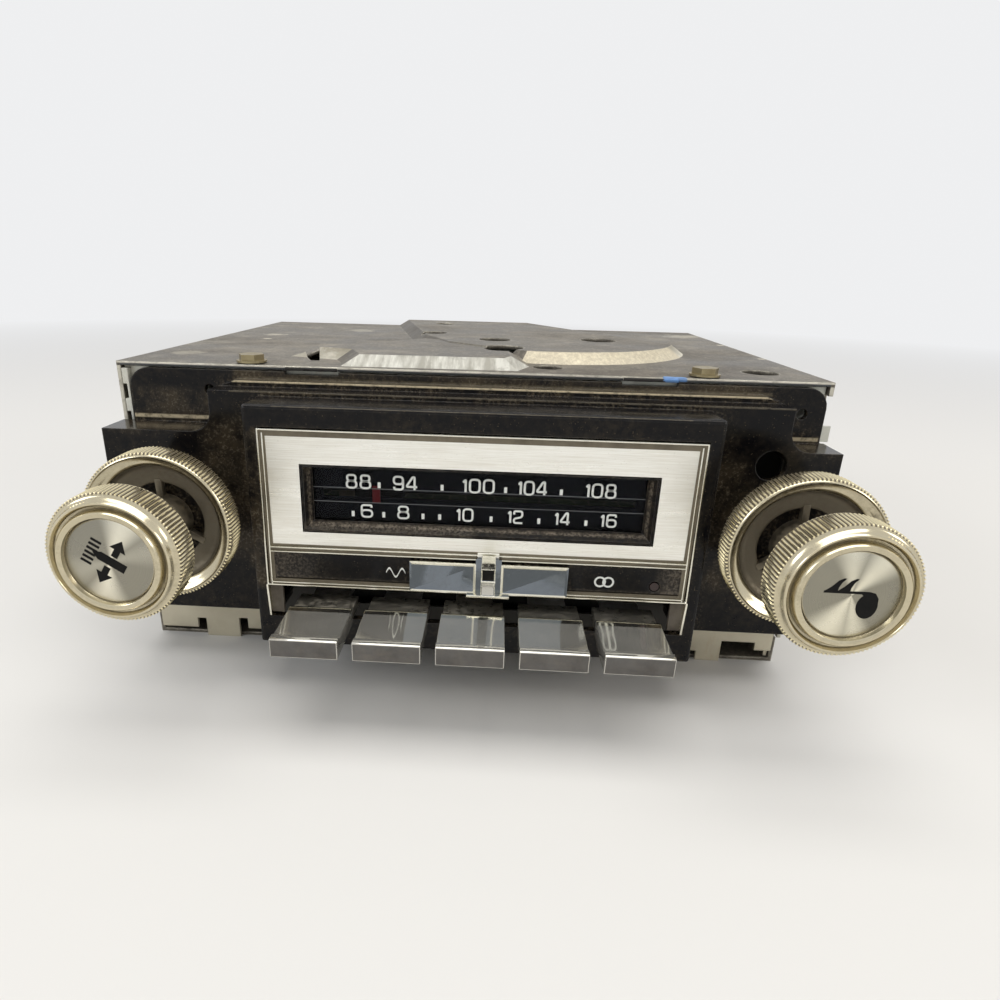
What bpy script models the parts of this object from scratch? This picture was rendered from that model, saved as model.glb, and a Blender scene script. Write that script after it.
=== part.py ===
"""Dash-mounted car radio with push buttons, a lit dial and two pairs of concentric knobs.

The model is in metres. +X is the listener's right, -Y points out of the dash, +Z is up.
The origin is the middle of the underside of the case.
"""

from math import cos, pi, radians, sin

import bmesh
import bpy
from mathutils import Matrix, Vector

MM = 0.001

# Case of folded sheet
CASE_WIDTH = 184 * MM
CASE_DEPTH = 141 * MM
CASE_HEIGHT = 82 * MM
SHEET = 1.0 * MM
GAP = 0.3 * MM
OVERRUN = 4 * MM
SIDE_SKIRT_BOTTOM = 9.5 * MM
BOTTOM_SKIRT_HEIGHT = 8 * MM
FRONT_Y = -CASE_DEPTH / 2
REAR_Y = CASE_DEPTH / 2
COVER_HALF = CASE_WIDTH / 2
CHASSIS_HALF = COVER_HALF - SHEET - GAP
CHASSIS_TOP = CASE_HEIGHT - SHEET - GAP
CHASSIS_BOTTOM = SHEET + GAP

# Raised areas pressed into the top cover
RIB_RISE = 2.6 * MM
RIB_WALL_RUN = 5 * MM
DOME_RISE = 3.0 * MM
DOME_WALL_RUN = 4 * MM
DOME_X = 24.4 * MM
DOME_SETBACK = 63.5 * MM
DOME_RADIUS = 44.6 * MM
DOME_ARC_STEPS = 12
RIB_SHARES = (
    (-0.278, 0.140), (-0.201, 0.106), (-0.188, 0.066), (-0.180, 0.018),
    (0.071, 0.025), (0.089, 0.090), (0.080, 0.320), (-0.100, 0.440),
)
DOME_REAR_SHARES = ((0.120, 0.972), (-0.201, 0.972), (-0.114, 0.461), (-0.060, 0.300))
DOME_ARC_START = radians(-103)
DOME_ARC_END = radians(-12)
COVER_HOLE_SHARES = (
    (0.036, 0.383, 0.0288), (0.052, 0.220, 0.0326), (-0.079, 0.816, 0.0228),
    (-0.082, 0.518, 0.0245), (0.224, 0.433, 0.0326), (0.117, 0.088, 0.0228),
    (0.428, 0.103, 0.0266),
)
LANCE_SHARES = ((-0.2359, 0.0844), (-0.2239, 0.0879), (-0.2386, 0.1667), (-0.2630, 0.1667))
TONGUE_WIDTH = 13.5 * MM
TONGUE_X_MIDDLE = 3.2 * MM
TONGUE_INSIDE_SCREW = 15.65 * MM
TONGUE_REACH = 1.3 * MM
SIDE_VENT_COUNT = 7
SIDE_VENT_WIDTH = 2.6 * MM
SIDE_VENT_HEIGHT = 26 * MM
SIDE_VENT_PITCH = 8 * MM
SIDE_VENT_MIDDLE_Y = 24 * MM
SIDE_VENT_DROP = 24 * MM

# Cover screws, hexagon heads with a washer face
SCREW_ACROSS = 5.8 * MM
SCREW_HEAD = 1.8 * MM
SCREW_WASHER_RADIUS = 3.9 * MM
SCREW_WASHER = 0.5 * MM
SCREW_SHANK_RADIUS = 1.4 * MM
SCREW_LENGTH = 5.3 * MM
SCREW_X_MIDDLE = 1.9 * MM
SCREW_SIDE_SPACE = 33.1 * MM
SCREW_SPREAD = CASE_WIDTH - SCREW_SIDE_SPACE * 2
TONGUE_SPREAD = SCREW_SPREAD - TONGUE_INSIDE_SCREW * 2
SCREW_SETBACK = 3.7 * MM
FRONT_LIP_DEPTH = 7.5 * MM

# Black moulded front: back plate, wide ears, upper body and nose
HOUSING_WALL = 2.2 * MM
PLATE_LEFT_MARGIN = 3.5 * MM
PLATE_RIGHT_MARGIN = 1.3 * MM
PLATE_DROP = 1.4 * MM
PLATE_AHEAD = 0.8 * MM
PLATE_THICKNESS = 2 * MM
PLATE_CORNER = 5 * MM
PLATE_BOTTOM_DROP = 64 * MM
PLATE_HOLE_RADIUS = 1.4 * MM
PLATE_HOLE_LEFT_SPACE = 24.7 * MM
PLATE_HOLE_LEFT = (-COVER_HALF + PLATE_HOLE_LEFT_SPACE, 6.6 * MM)
PLATE_HOLE_RIGHT_SPACE = 7 * MM
PLATE_HOLE_RIGHT = (COVER_HALF - PLATE_HOLE_RIGHT_SPACE, 8.0 * MM)
EAR_AHEAD = 11.25 * MM
EAR_TOP_DROP = 15.4 * MM
EAR_BOTTOM_DROP = 65.2 * MM
BODY_LEFT_SPACE = 28.5 * MM
BODY_LEFT_X = -COVER_HALF + BODY_LEFT_SPACE
BODY_RIGHT_SPACE = 13.1 * MM
BODY_RIGHT_X = COVER_HALF - BODY_RIGHT_SPACE
BODY_TOP_DROP = 4.8 * MM
BODY_FILLET = 5.3 * MM
LEDGE_AHEAD = 5 * MM
LEDGE_RISE = 1.4 * MM
LEDGE_INSET = 4.5 * MM
LEDGE_GUSSET = 4.2 * MM
TRIM_HOLE_SPACE = 16.4 * MM
TRIM_HOLE_X = COVER_HALF - TRIM_HOLE_SPACE
TRIM_HOLE_DROP = 18.9 * MM
TRIM_HOLE_RADIUS = 3.75 * MM
NOSE_X = 4.3 * MM
CONTROL_WALL_SPACE = 14.8 * MM
SHAFT_HALF_SPACING = COVER_HALF - CONTROL_WALL_SPACE - NOSE_X
NOSE_SHAFT_SPACE = 17.3 * MM
NOSE_HALF = SHAFT_HALF_SPACING - NOSE_SHAFT_SPACE
NOSE_AHEAD = 22.4 * MM
NOSE_TOP_DROP = 5.9 * MM
NOSE_EDGE = 0.8 * MM
EAR_SCREW_HOLE_RADIUS = 1.7 * MM
EAR_SCREW_HOLE_DROP = 57 * MM
EAR_SCREW_HOLE_OUTSIDE = 2.1 * MM
EAR_SCREW_HOLE_SPREAD = (SHAFT_HALF_SPACING + EAR_SCREW_HOLE_OUTSIDE) * 2

# Chrome bezel frame, brushed plate and strip
NOSE_BORDER = 3.5 * MM
BEZEL_HALF = NOSE_HALF - NOSE_BORDER
BEZEL_PROUD = 0.5 * MM
BEZEL_THICKNESS = 2.6 * MM
NOSE_TOP_BORDER = 5.4 * MM
BEZEL_TOP_DROP = NOSE_TOP_DROP + NOSE_TOP_BORDER
BEZEL_RAIL = 1.4 * MM
LEG_WIDTH = 1.2 * MM
PLATE_SINK = 0.6 * MM
TRIM_THICKNESS = 1.0 * MM
WINDOW_SIDE_SPACE = 9.5 * MM
WINDOW_HALF = BEZEL_HALF - WINDOW_SIDE_SPACE
PLATE_ABOVE_WINDOW = 8.4 * MM
PLATE_BELOW_WINDOW = 4.4 * MM
WINDOW_HEIGHT = 17.3 * MM
WINDOW_TOP_DROP = BEZEL_TOP_DROP + PLATE_ABOVE_WINDOW
WINDOW_BOTTOM_DROP = WINDOW_TOP_DROP + WINDOW_HEIGHT
DIVIDER_DROP = WINDOW_BOTTOM_DROP + PLATE_BELOW_WINDOW
STRIP_HEIGHT = 9.8 * MM
STRIP_BOTTOM_DROP = DIVIDER_DROP + STRIP_HEIGHT
WINDOW_FRAME_DEPTH = 2.3 * MM
WINDOW_BEVEL = 2.2 * MM
WINDOW_TOP_BEVEL = 0.6 * MM
LENS_THICKNESS = 0.8 * MM
LENS_MARGIN = 0.9 * MM
DIAL_THICKNESS = 1.0 * MM
DIAL_MARGIN = 1.4 * MM
DIAL_SLOT_SIDE_SPACE = 4.1 * MM
DIAL_SLOT_HALF = WINDOW_HALF - DIAL_SLOT_SIDE_SPACE
DIAL_SLOT_BELOW_TOP = 8.2 * MM
DIAL_SLOT_DROP = WINDOW_TOP_DROP + DIAL_SLOT_BELOW_TOP
DIAL_SLOT_HEIGHT = 2.6 * MM
DIAL_BEHIND_LENS = 1.6 * MM
LIGHT_BOX_WALL = 1.2 * MM
LIGHT_BOX_DEPTH = 13 * MM
LAMP_SIDE_SPACE = 16.6 * MM
LAMP_X = WINDOW_HALF - LAMP_SIDE_SPACE
LAMP_RADIUS = 2.6 * MM
LAMP_LENGTH = 9 * MM
LAMP_HOLDER_SIZE = 7.5 * MM
LAMP_RECESS = 3 * MM
JEWEL_SIDE_SPACE = 7.9 * MM
JEWEL_X = BEZEL_HALF - JEWEL_SIDE_SPACE
JEWEL_ABOVE_STRIP_BOTTOM = 3.6 * MM
JEWEL_DROP = STRIP_BOTTOM_DROP - JEWEL_ABOVE_STRIP_BOTTOM
JEWEL_RADIUS = 1.1 * MM
JEWEL_LENGTH = 2.6 * MM

# Band slider
BAND_X = 3.4 * MM
BAND_PLATE_WIDTH = 38.9 * MM
BAND_PLATE_HEIGHT = 8.0 * MM
BAND_PLATE_THICKNESS = 0.8 * MM
BAND_PLATE_BELOW_DIVIDER = 1.5 * MM
BAND_PLATE_TOP_DROP = DIVIDER_DROP + BAND_PLATE_BELOW_DIVIDER
BAND_TRAVEL = 6 * MM
TAB_ROOT_WIDTH = 6.1 * MM
TAB_TIP_WIDTH = 3.6 * MM
TAB_HEIGHT = 9.3 * MM
TAB_ABOVE_DIVIDER = 1.8 * MM
TAB_TOP_DROP = DIVIDER_DROP - TAB_ABOVE_DIVIDER
TAB_REACH = 6.6 * MM
FOOT_WIDTH = 10.8 * MM
FOOT_HEIGHT = 1.3 * MM
FOOT_REACH = 4.6 * MM
BAND_ARM_WIDTH = 3 * MM
BAND_ARM_HEIGHT = 2.2 * MM
BAND_ARM_LENGTH = 16 * MM
BAND_SWITCH_WIDTH = 30 * MM
BAND_SWITCH_DEPTH = 9 * MM

# Push buttons
BUTTON_COUNT = 5
BUTTON_SIDE_SPACE = 5.59 * MM
BUTTON_SPACE = 3.28 * MM
BUTTON_SPAN = (BEZEL_HALF - LEG_WIDTH - BUTTON_SIDE_SPACE) * 2
BUTTON_PITCH = (BUTTON_SPAN + BUTTON_SPACE) / BUTTON_COUNT
BUTTON_WIDTH = BUTTON_PITCH - BUTTON_SPACE
BUTTON_BELOW_STRIP = 3 * MM
BUTTON_TOP_DROP = STRIP_BOTTOM_DROP + BUTTON_BELOW_STRIP
BUTTON_FACE_HEIGHT = 4.8 * MM
LEG_BELOW_BUTTON_TOP = 6.2 * MM
BEZEL_BOTTOM_DROP = BUTTON_TOP_DROP + LEG_BELOW_BUTTON_TOP
NOSE_BOTTOM_BORDER = 8.2 * MM
NOSE_BOTTOM_DROP = BEZEL_BOTTOM_DROP + NOSE_BOTTOM_BORDER
BUTTON_AHEAD = 44.5 * MM
CAP_LENGTH = 25.6 * MM
CAP_SHARES = (
    (0.000, 0.00), (0.000, 0.94), (0.016, 1.00), (0.060, 1.00), (0.105, 0.80), (0.200, 0.70),
    (0.320, 0.68), (0.460, 0.74), (0.570, 0.90), (0.620, 1.00), (0.640, 0.98), (0.655, 0.74),
    (1.000, 0.70), (1.000, 0.08), (0.120, 0.08), (0.080, 0.00),
)
BLADE_INSET = 2.95 * MM
BLADE_WIDTH = BUTTON_WIDTH - BLADE_INSET * 2
BLADE_THICKNESS = 1.4 * MM
GUIDE_FRONT_SETBACK = 5.4 * MM
GUIDE_SHEET = 1.4 * MM
GUIDE_SPACING = 30 * MM
GUIDE_SIDE_MARGIN = 2.5 * MM
GUIDE_TOP_RISE = 4 * MM
COLLAR_RADIUS = 3.6 * MM
COLLAR_THICKNESS = 1.2 * MM
ROD_RADIUS = 1.5 * MM
ROD_TAIL = 3 * MM
BLADE_PAST_GUIDE = 4.5 * MM
SPRING_WIRE = 0.35 * MM
SPRING_RADIUS = 2.6 * MM
SPRING_TURNS = 5
SPRING_POINTS_PER_TURN = 8

# Concentric controls
SHAFT_DROP = 32.35 * MM
SHAFT_RADIUS = 3.0 * MM
SLEEVE_RADIUS = 4.2 * MM
BUSHING_RADIUS = 5.6 * MM
BUSHING_REACH = 12.5 * MM
RUNNING = 0.35 * MM
NUT_ACROSS = 14 * MM
NUT_THICKNESS = 2.6 * MM
KNOB_AHEAD = 55 * MM
KNOB_RADIUS = 14.3 * MM
KNOB_BAND = 6.6 * MM
KNOB_FACE_RISE = 2.4 * MM
KNOB_RIBS = 54
KNOB_RIB_DEPTH = 0.45 * MM
KNOB_WALL = 1.6 * MM
KNOB_DISC_RADIUS = 9.15 * MM
KNOB_HUB_RADIUS = 5 * MM
KNOB_HUB_LENGTH = 5.5 * MM
RING_AHEAD = 35 * MM
RING_RADIUS = 17.6 * MM
RING_BAND = 6.3 * MM
RING_WALL = 2.6 * MM
RING_FLOOR = 1.4 * MM
RING_HUB_RADIUS = 6.2 * MM
RING_SPOKES = 3
RING_RIBS = 54
RING_WINDOW_RADIUS = 11.8 * MM
RING_SPOKE_WIDTH = 3.2 * MM
CONTROL_RADIUS = 12 * MM
CONTROL_DEPTH = 10.5 * MM
VOLUME_DEPTH = 16 * MM
TERMINAL_WIDTH = 2 * MM
TERMINAL_LENGTH = 6 * MM
TERMINAL_THICKNESS = 0.7 * MM
TERMINAL_SPREAD = 5.5 * MM

# Tuning drive
GEAR_MODULE = 0.8 * MM
PINION_TEETH = 14
WHEEL_TEETH = 42
GEAR_THICKNESS = 3 * MM
GEAR_SETBACK = 22 * MM
TOOTH_SHARE = 0.40
TOOTH_TIP_SHARE = 0.22
ADDENDUM_SHARE = 0.90
DEDENDUM_SHARE = 1.15
STUD_RADIUS = 2.4 * MM
STUD_FLANGE_RADIUS = 4.5 * MM
WHEEL_HOLE_RADIUS = 3.4 * MM
WHEEL_HOLE_CIRCLE = 10.6 * MM
WHEEL_HOLES = 5
POINTER_SIDE_SPACE = 17.7 * MM
POINTER_OFFSET = POINTER_SIDE_SPACE - WINDOW_HALF
POINTER_WIDTH = 1.9 * MM
POINTER_HEIGHT = 3.3 * MM
POINTER_THICKNESS = 0.5 * MM
POINTER_STEM = 1.2 * MM
CARRIAGE_WIDTH = 12 * MM
CARRIAGE_HEIGHT = 5 * MM
CARRIAGE_DEPTH = 5 * MM
CARRIAGE_BEHIND_DIAL = 1.2 * MM
RAIL_RADIUS = 1.0 * MM
TUNER_WIDTH = 52 * MM
TUNER_DEPTH = 34 * MM
TUNER_HEIGHT = 24 * MM
CORE_BAR_BEHIND_GUIDE = 2.8 * MM
CORE_COUNT = 3
CORE_PITCH = 15 * MM
CORE_RADIUS = 1.8 * MM
CORE_CLEARANCE = 0.4 * MM
CORE_BAR_THICKNESS = 2 * MM
CORE_BAR_HEIGHT = 8 * MM
CORE_TRAVEL = 16 * MM
CORE_ENGAGED = 3 * MM

# Circuit board and rear fittings
BOARD_HEIGHT = 31 * MM
BOARD_THICKNESS = 1.6 * MM
BOARD_FRONT_SETBACK = 44 * MM
BOARD_REAR_MARGIN = 1 * MM
CAPACITOR_RADIUS = 6 * MM
CAPACITOR_HEIGHT = 22 * MM
CAPACITOR_SIDE_SPACE = 32 * MM
CAPACITOR_X = COVER_HALF - CAPACITOR_SIDE_SPACE
CAPACITOR_SETBACK = 75 * MM
HEAT_SINK_WIDTH = 66 * MM
HEAT_SINK_SIDE_SPACE = 13 * MM
HEAT_SINK_X = COVER_HALF - HEAT_SINK_SIDE_SPACE - HEAT_SINK_WIDTH / 2
HEAT_SINK_BOTTOM = 14 * MM
HEAT_SINK_TOP_SPACE = 12 * MM
HEAT_SINK_HEIGHT = CASE_HEIGHT - HEAT_SINK_BOTTOM - HEAT_SINK_TOP_SPACE
HEAT_SINK_BASE = 3 * MM
FIN_DEPTH = 9 * MM
FIN_THICKNESS = 1.6 * MM
FIN_COUNT = 8
TRANSISTOR_RADIUS = 8.5 * MM
TRANSISTOR_CAN = 7 * MM
TRANSISTOR_SPREAD = 30 * MM
SOCKET_SIDE_SPACE = 22 * MM
SOCKET_X = -COVER_HALF + SOCKET_SIDE_SPACE
SOCKET_DROP = 24 * MM
SOCKET_HEIGHT = CASE_HEIGHT - SOCKET_DROP
SOCKET_RADIUS = 6.6 * MM
SOCKET_BORE = 4.4 * MM
SOCKET_LENGTH = 14 * MM
SOCKET_FLANGE = 9.5 * MM
SOCKET_FLANGE_THICKNESS = 1.5 * MM
SOCKET_FLOOR = 2 * MM
CONNECTOR_WIDTH = 26 * MM
CONNECTOR_HEIGHT = 13 * MM
CONNECTOR_DEPTH = 13 * MM
CONNECTOR_WALL = 1.8 * MM
CONNECTOR_Z = 20 * MM
SPEAKER_WIDTH = 22 * MM
SPEAKER_SIDE_SPACE = 19 * MM
SPEAKER_X = -COVER_HALF + SPEAKER_SIDE_SPACE + SPEAKER_WIDTH / 2
CONNECTOR_X = (SPEAKER_X + SPEAKER_WIDTH / 2 + HEAT_SINK_X - HEAT_SINK_WIDTH / 2) / 2
PIN_SIZE = 1.2 * MM
PIN_LENGTH = 6 * MM
PIN_PITCH = 7 * MM

# Slots in the front flange: left, right, height as shares of the case's half width and of the tab height
TAB_FLANGE_HEIGHT = 10 * MM
TAB_NOTCH_SHARES = (
    (-1.000, -0.866, 0.26), (-0.866, -0.837, 0.58), (-0.727, -0.698, 0.64), (-0.698, 0.755, 0.30),
    (0.830, 0.934, 0.66), (0.934, 1.000, 0.41),
)
FLANGE_SLOT_SHARES = ((0.905, 0.024), (0.822, 0.018), (0.50, 0.03))
FLANGE_SLOT_WIDTH = 1.1 * MM
SIDE_LIP_WIDTH = 1.7 * MM
SIDE_LIP_SETBACK = 0.3 * MM
SIDE_NOTCH_TOP_DROP = 3.4 * MM
SIDE_NOTCH_DEPTH = 3.2 * MM
SIDE_TAB_HEIGHT = 4.1 * MM
SIDE_TAB_REACH = 1.9 * MM

ROUND_STEPS = 32
SMALL_STEPS = 16
SPRING_SIDES_RESOLUTION = 0


def down(drop):
    """Height of a point that lies this far below the top of the case."""
    return CASE_HEIGHT - drop


def ahead(reach):
    """Depth position of a point that stands this far in front of the cover's front edge."""
    return FRONT_Y - reach


SHAFT_Z = down(SHAFT_DROP)
LEFT_SHAFT_X = NOSE_X - SHAFT_HALF_SPACING
RIGHT_SHAFT_X = NOSE_X + SHAFT_HALF_SPACING
PLATE_FRONT_Y = ahead(PLATE_AHEAD)
PLATE_BACK_Y = PLATE_FRONT_Y + PLATE_THICKNESS
CHASSIS_FRONT_Y = PLATE_BACK_Y + GAP
CHASSIS_INSIDE_Y = CHASSIS_FRONT_Y + SHEET
EAR_Y = ahead(EAR_AHEAD)
NOSE_Y = ahead(NOSE_AHEAD)
BEZEL_Y = NOSE_Y - BEZEL_PROUD
TRIM_Y = BEZEL_Y + PLATE_SINK
WINDOW_FRAME_BACK_Y = TRIM_Y + WINDOW_FRAME_DEPTH
LENS_Y = WINDOW_FRAME_BACK_Y + GAP
DIAL_Y = LENS_Y + LENS_THICKNESS + DIAL_BEHIND_LENS
DIAL_BACK_Y = DIAL_Y + DIAL_THICKNESS
BUTTON_Y = ahead(BUTTON_AHEAD)
BUTTON_BOTTOM = down(BUTTON_TOP_DROP + BUTTON_FACE_HEIGHT)
CAP_BACK_Y = BUTTON_Y + CAP_LENGTH
BLADE_Z = BUTTON_BOTTOM + BUTTON_FACE_HEIGHT * 0.39
GUIDE_Y = FRONT_Y + GUIDE_FRONT_SETBACK
REAR_GUIDE_Y = GUIDE_Y + GUIDE_SPACING
COLLAR_Y = GUIDE_Y + GUIDE_SHEET + BLADE_PAST_GUIDE
GEAR_Y = FRONT_Y + GEAR_SETBACK
GEAR_CENTRES = GEAR_MODULE * (PINION_TEETH + WHEEL_TEETH) / 2
WHEEL_X = LEFT_SHAFT_X + GEAR_CENTRES
CORE_BAR_Y = REAR_GUIDE_Y + GUIDE_SHEET + CORE_BAR_BEHIND_GUIDE
TUNER_Y = CORE_BAR_Y + CORE_BAR_THICKNESS + CORE_TRAVEL
BOARD_Y = FRONT_Y + BOARD_FRONT_SETBACK
BOARD_TOP = BOARD_HEIGHT + BOARD_THICKNESS
CONTROL_Y = CHASSIS_INSIDE_Y + GAP
FRONT_VIEW = Matrix.Rotation(radians(90), 4, "X")


def clear_scene():
    for obj in list(bpy.data.objects):
        bpy.data.objects.remove(obj)
    for name in ("car_radio", "cutters"):
        collection = bpy.data.collections.new(name)
        bpy.context.scene.collection.children.link(collection)


def material(name, colour, roughness, metallic):
    made = bpy.data.materials.new(name)
    made.use_nodes = True
    shader = made.node_tree.nodes["Principled BSDF"]
    shader.inputs["Base Color"].default_value = (*colour, 1)
    shader.inputs["Roughness"].default_value = roughness
    shader.inputs["Metallic"].default_value = metallic
    return made


def add_object(name, mesh, collection="car_radio"):
    obj = bpy.data.objects.new(name, mesh)
    bpy.data.collections[collection].objects.link(obj)
    return obj


def mesh_from(name, bm, matrix=None):
    """Turns a bmesh into an object, moved by the matrix, with its faces pointing out."""
    if matrix is not None:
        bmesh.ops.transform(bm, matrix=matrix, verts=bm.verts)
    bmesh.ops.recalc_face_normals(bm, faces=bm.faces)
    mesh = bpy.data.meshes.new(name)
    bm.to_mesh(mesh)
    bm.free()
    return add_object(name, mesh)


def box(name, low, high):
    low, high = Vector(low), Vector(high)
    bm = bmesh.new()
    bmesh.ops.create_cube(bm, size=1)
    size = high - low
    shape = Matrix.Translation((low + high) / 2) @ Matrix.Diagonal((*size, 1))
    return mesh_from(name, bm, shape)


def tapered_box(name, low, high, shrink_x, shrink_z):
    """A box whose front face, the one at the lower Y, is drawn in on each side."""
    low, high = Vector(low), Vector(high)
    middle = (low + high) / 2
    obj = box(name, low, high)
    for vertex in obj.data.vertices:
        if vertex.co.y < middle.y:
            vertex.co.x -= shrink_x if vertex.co.x > middle.x else -shrink_x
            vertex.co.z -= shrink_z if vertex.co.z > middle.z else -shrink_z
    return obj


def rod(name, start, radius, length, steps=ROUND_STEPS, axis="Y"):
    """A cylinder that starts at the given point and runs along +Y, +X or +Z."""
    turn = {
        "Y": Matrix.Rotation(radians(-90), 4, "X"),
        "X": Matrix.Rotation(radians(90), 4, "Y"),
        "Z": Matrix.Identity(4),
    }[axis]
    bm = bmesh.new()
    bmesh.ops.create_cone(
        bm, cap_ends=True, segments=steps, radius1=radius, radius2=radius, depth=length
    )
    place = Matrix.Translation(start) @ turn @ Matrix.Translation((0, 0, length / 2))
    obj = mesh_from(name, bm, place)
    smooth(obj)
    return obj


def extruded(name, outline, thickness, matrix):
    """A flat outline in local XY, thickened along local +Z and placed by the matrix."""
    curve = bpy.data.curves.new(name, "CURVE")
    curve.dimensions = "2D"
    curve.fill_mode = "BOTH"
    curve.extrude = thickness / 2
    spline = curve.splines.new("POLY")
    spline.points.add(len(outline) - 1)
    for point, (x, y) in zip(spline.points, outline):
        point.co = (x, y, 0, 1)
    spline.use_cyclic_u = True
    shape = add_object(name + "_outline", curve)
    bpy.context.view_layer.update()
    graph = bpy.context.evaluated_depsgraph_get()
    mesh = bpy.data.meshes.new_from_object(shape.evaluated_get(graph))
    bpy.data.objects.remove(shape)
    bm = bmesh.new()
    bm.from_mesh(mesh)
    bpy.data.meshes.remove(mesh)
    bmesh.ops.remove_doubles(bm, verts=bm.verts, dist=GAP / 1000)
    return mesh_from(name, bm, matrix @ Matrix.Translation((0, 0, thickness / 2)))


def turned(name, profile, matrix, steps=ROUND_STEPS, closed=False):
    """A profile of (radius, height) points turned about local Z and placed by the matrix."""
    mesh = bpy.data.meshes.new(name)
    points = [(radius, 0, height) for radius, height in profile]
    edges = [(index, index + 1) for index in range(len(points) - 1)]
    if closed:
        edges.append((len(points) - 1, 0))
    mesh.from_pydata(points, edges, [])
    shape = add_object(name + "_profile", mesh)
    screw = shape.modifiers.new("turn", "SCREW")
    screw.steps = steps
    screw.render_steps = steps
    screw.use_merge_vertices = True
    screw.merge_threshold = GAP / 1000
    bpy.context.view_layer.update()
    graph = bpy.context.evaluated_depsgraph_get()
    result = bpy.data.meshes.new_from_object(shape.evaluated_get(graph))
    bpy.data.objects.remove(shape)
    bm = bmesh.new()
    bm.from_mesh(result)
    bpy.data.meshes.remove(result)
    bmesh.ops.remove_doubles(bm, verts=bm.verts, dist=GAP / 1000)
    obj = mesh_from(name, bm, matrix)
    smooth(obj)
    return obj


def smooth(obj):
    obj.data.shade_smooth()
    obj.data.set_sharp_from_angle(angle=radians(35))


def combine(piece, other, operation):
    modifier = piece.modifiers.new(other.name, "BOOLEAN")
    modifier.operation = operation
    modifier.object = other
    other.hide_render = True
    other.display_type = "WIRE"
    for collection in other.users_collection:
        collection.objects.unlink(other)
    bpy.data.collections["cutters"].objects.link(other)


def cut(piece, *others):
    for other in others:
        combine(piece, other, "DIFFERENCE")
    return piece


def join(piece, *others):
    for other in others:
        combine(piece, other, "UNION")
    return piece


def bevel(piece, width, segments=1, angle=40):
    modifier = piece.modifiers.new("edges", "BEVEL")
    modifier.width = width
    modifier.segments = segments
    modifier.limit_method = "ANGLE"
    modifier.angle_limit = radians(angle)
    return piece


def paint(piece, finish):
    piece.data.materials.clear()
    piece.data.materials.append(finish)
    return piece


def arc(centre, radius, start, end, steps):
    return [
        (
            centre[0] + radius * cos(start + (end - start) * step / steps),
            centre[1] + radius * sin(start + (end - start) * step / steps),
        )
        for step in range(steps + 1)
    ]


def facing_front(x, y, z):
    """Local XY becomes the front view, and local +Z points out of the dash."""
    return Matrix.Translation((x, y, z)) @ FRONT_VIEW


def raised_area(name, outline, top, rise, run, root):
    """A pressed area: its outline at the sheet's level, its sloped wall, and a root below."""
    bm = bmesh.new()
    face = bm.faces.new([bm.verts.new((x, y, top)) for x, y in outline])
    bmesh.ops.recalc_face_normals(bm, faces=bm.faces)
    if face.normal.z < 0:
        face.normal_flip()
    grown = bmesh.ops.extrude_face_region(bm, geom=[face])
    base = [item for item in grown["geom"] if isinstance(item, bmesh.types.BMFace)][0]
    bmesh.ops.translate(bm, vec=(0, 0, -root), verts=face.verts)
    bmesh.ops.inset_region(bm, faces=[base], thickness=run, depth=rise, use_even_offset=True)
    return mesh_from(name, bm)


def from_front_edge(shares):
    return [(x * CASE_WIDTH, FRONT_Y + y * CASE_DEPTH) for x, y in shares]


def dome_outline():
    centre = (DOME_X, FRONT_Y + DOME_SETBACK)
    front = arc(centre, DOME_RADIUS, DOME_ARC_START, DOME_ARC_END, DOME_ARC_STEPS)
    return front + from_front_edge(DOME_REAR_SHARES)


def cover_form(name, half, top, bottom):
    """The cover's outside or inside: a block with the raised areas on it."""
    length = OVERRUN if name.endswith("inside") else 0
    form = box(name, (-half, FRONT_Y - length, bottom), (half, REAR_Y + length, top))
    root = CASE_HEIGHT / 10
    areas = (
        raised_area(name + "_rib", from_front_edge(RIB_SHARES), top, RIB_RISE, RIB_WALL_RUN, root),
        raised_area(name + "_dome", dome_outline(), top, DOME_RISE, DOME_WALL_RUN, root),
    )
    return join(form, *areas)


def screw_places():
    return [
        (SCREW_X_MIDDLE + side * SCREW_SPREAD / 2, FRONT_Y + SCREW_SETBACK) for side in (-1, 1)
    ]


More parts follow.
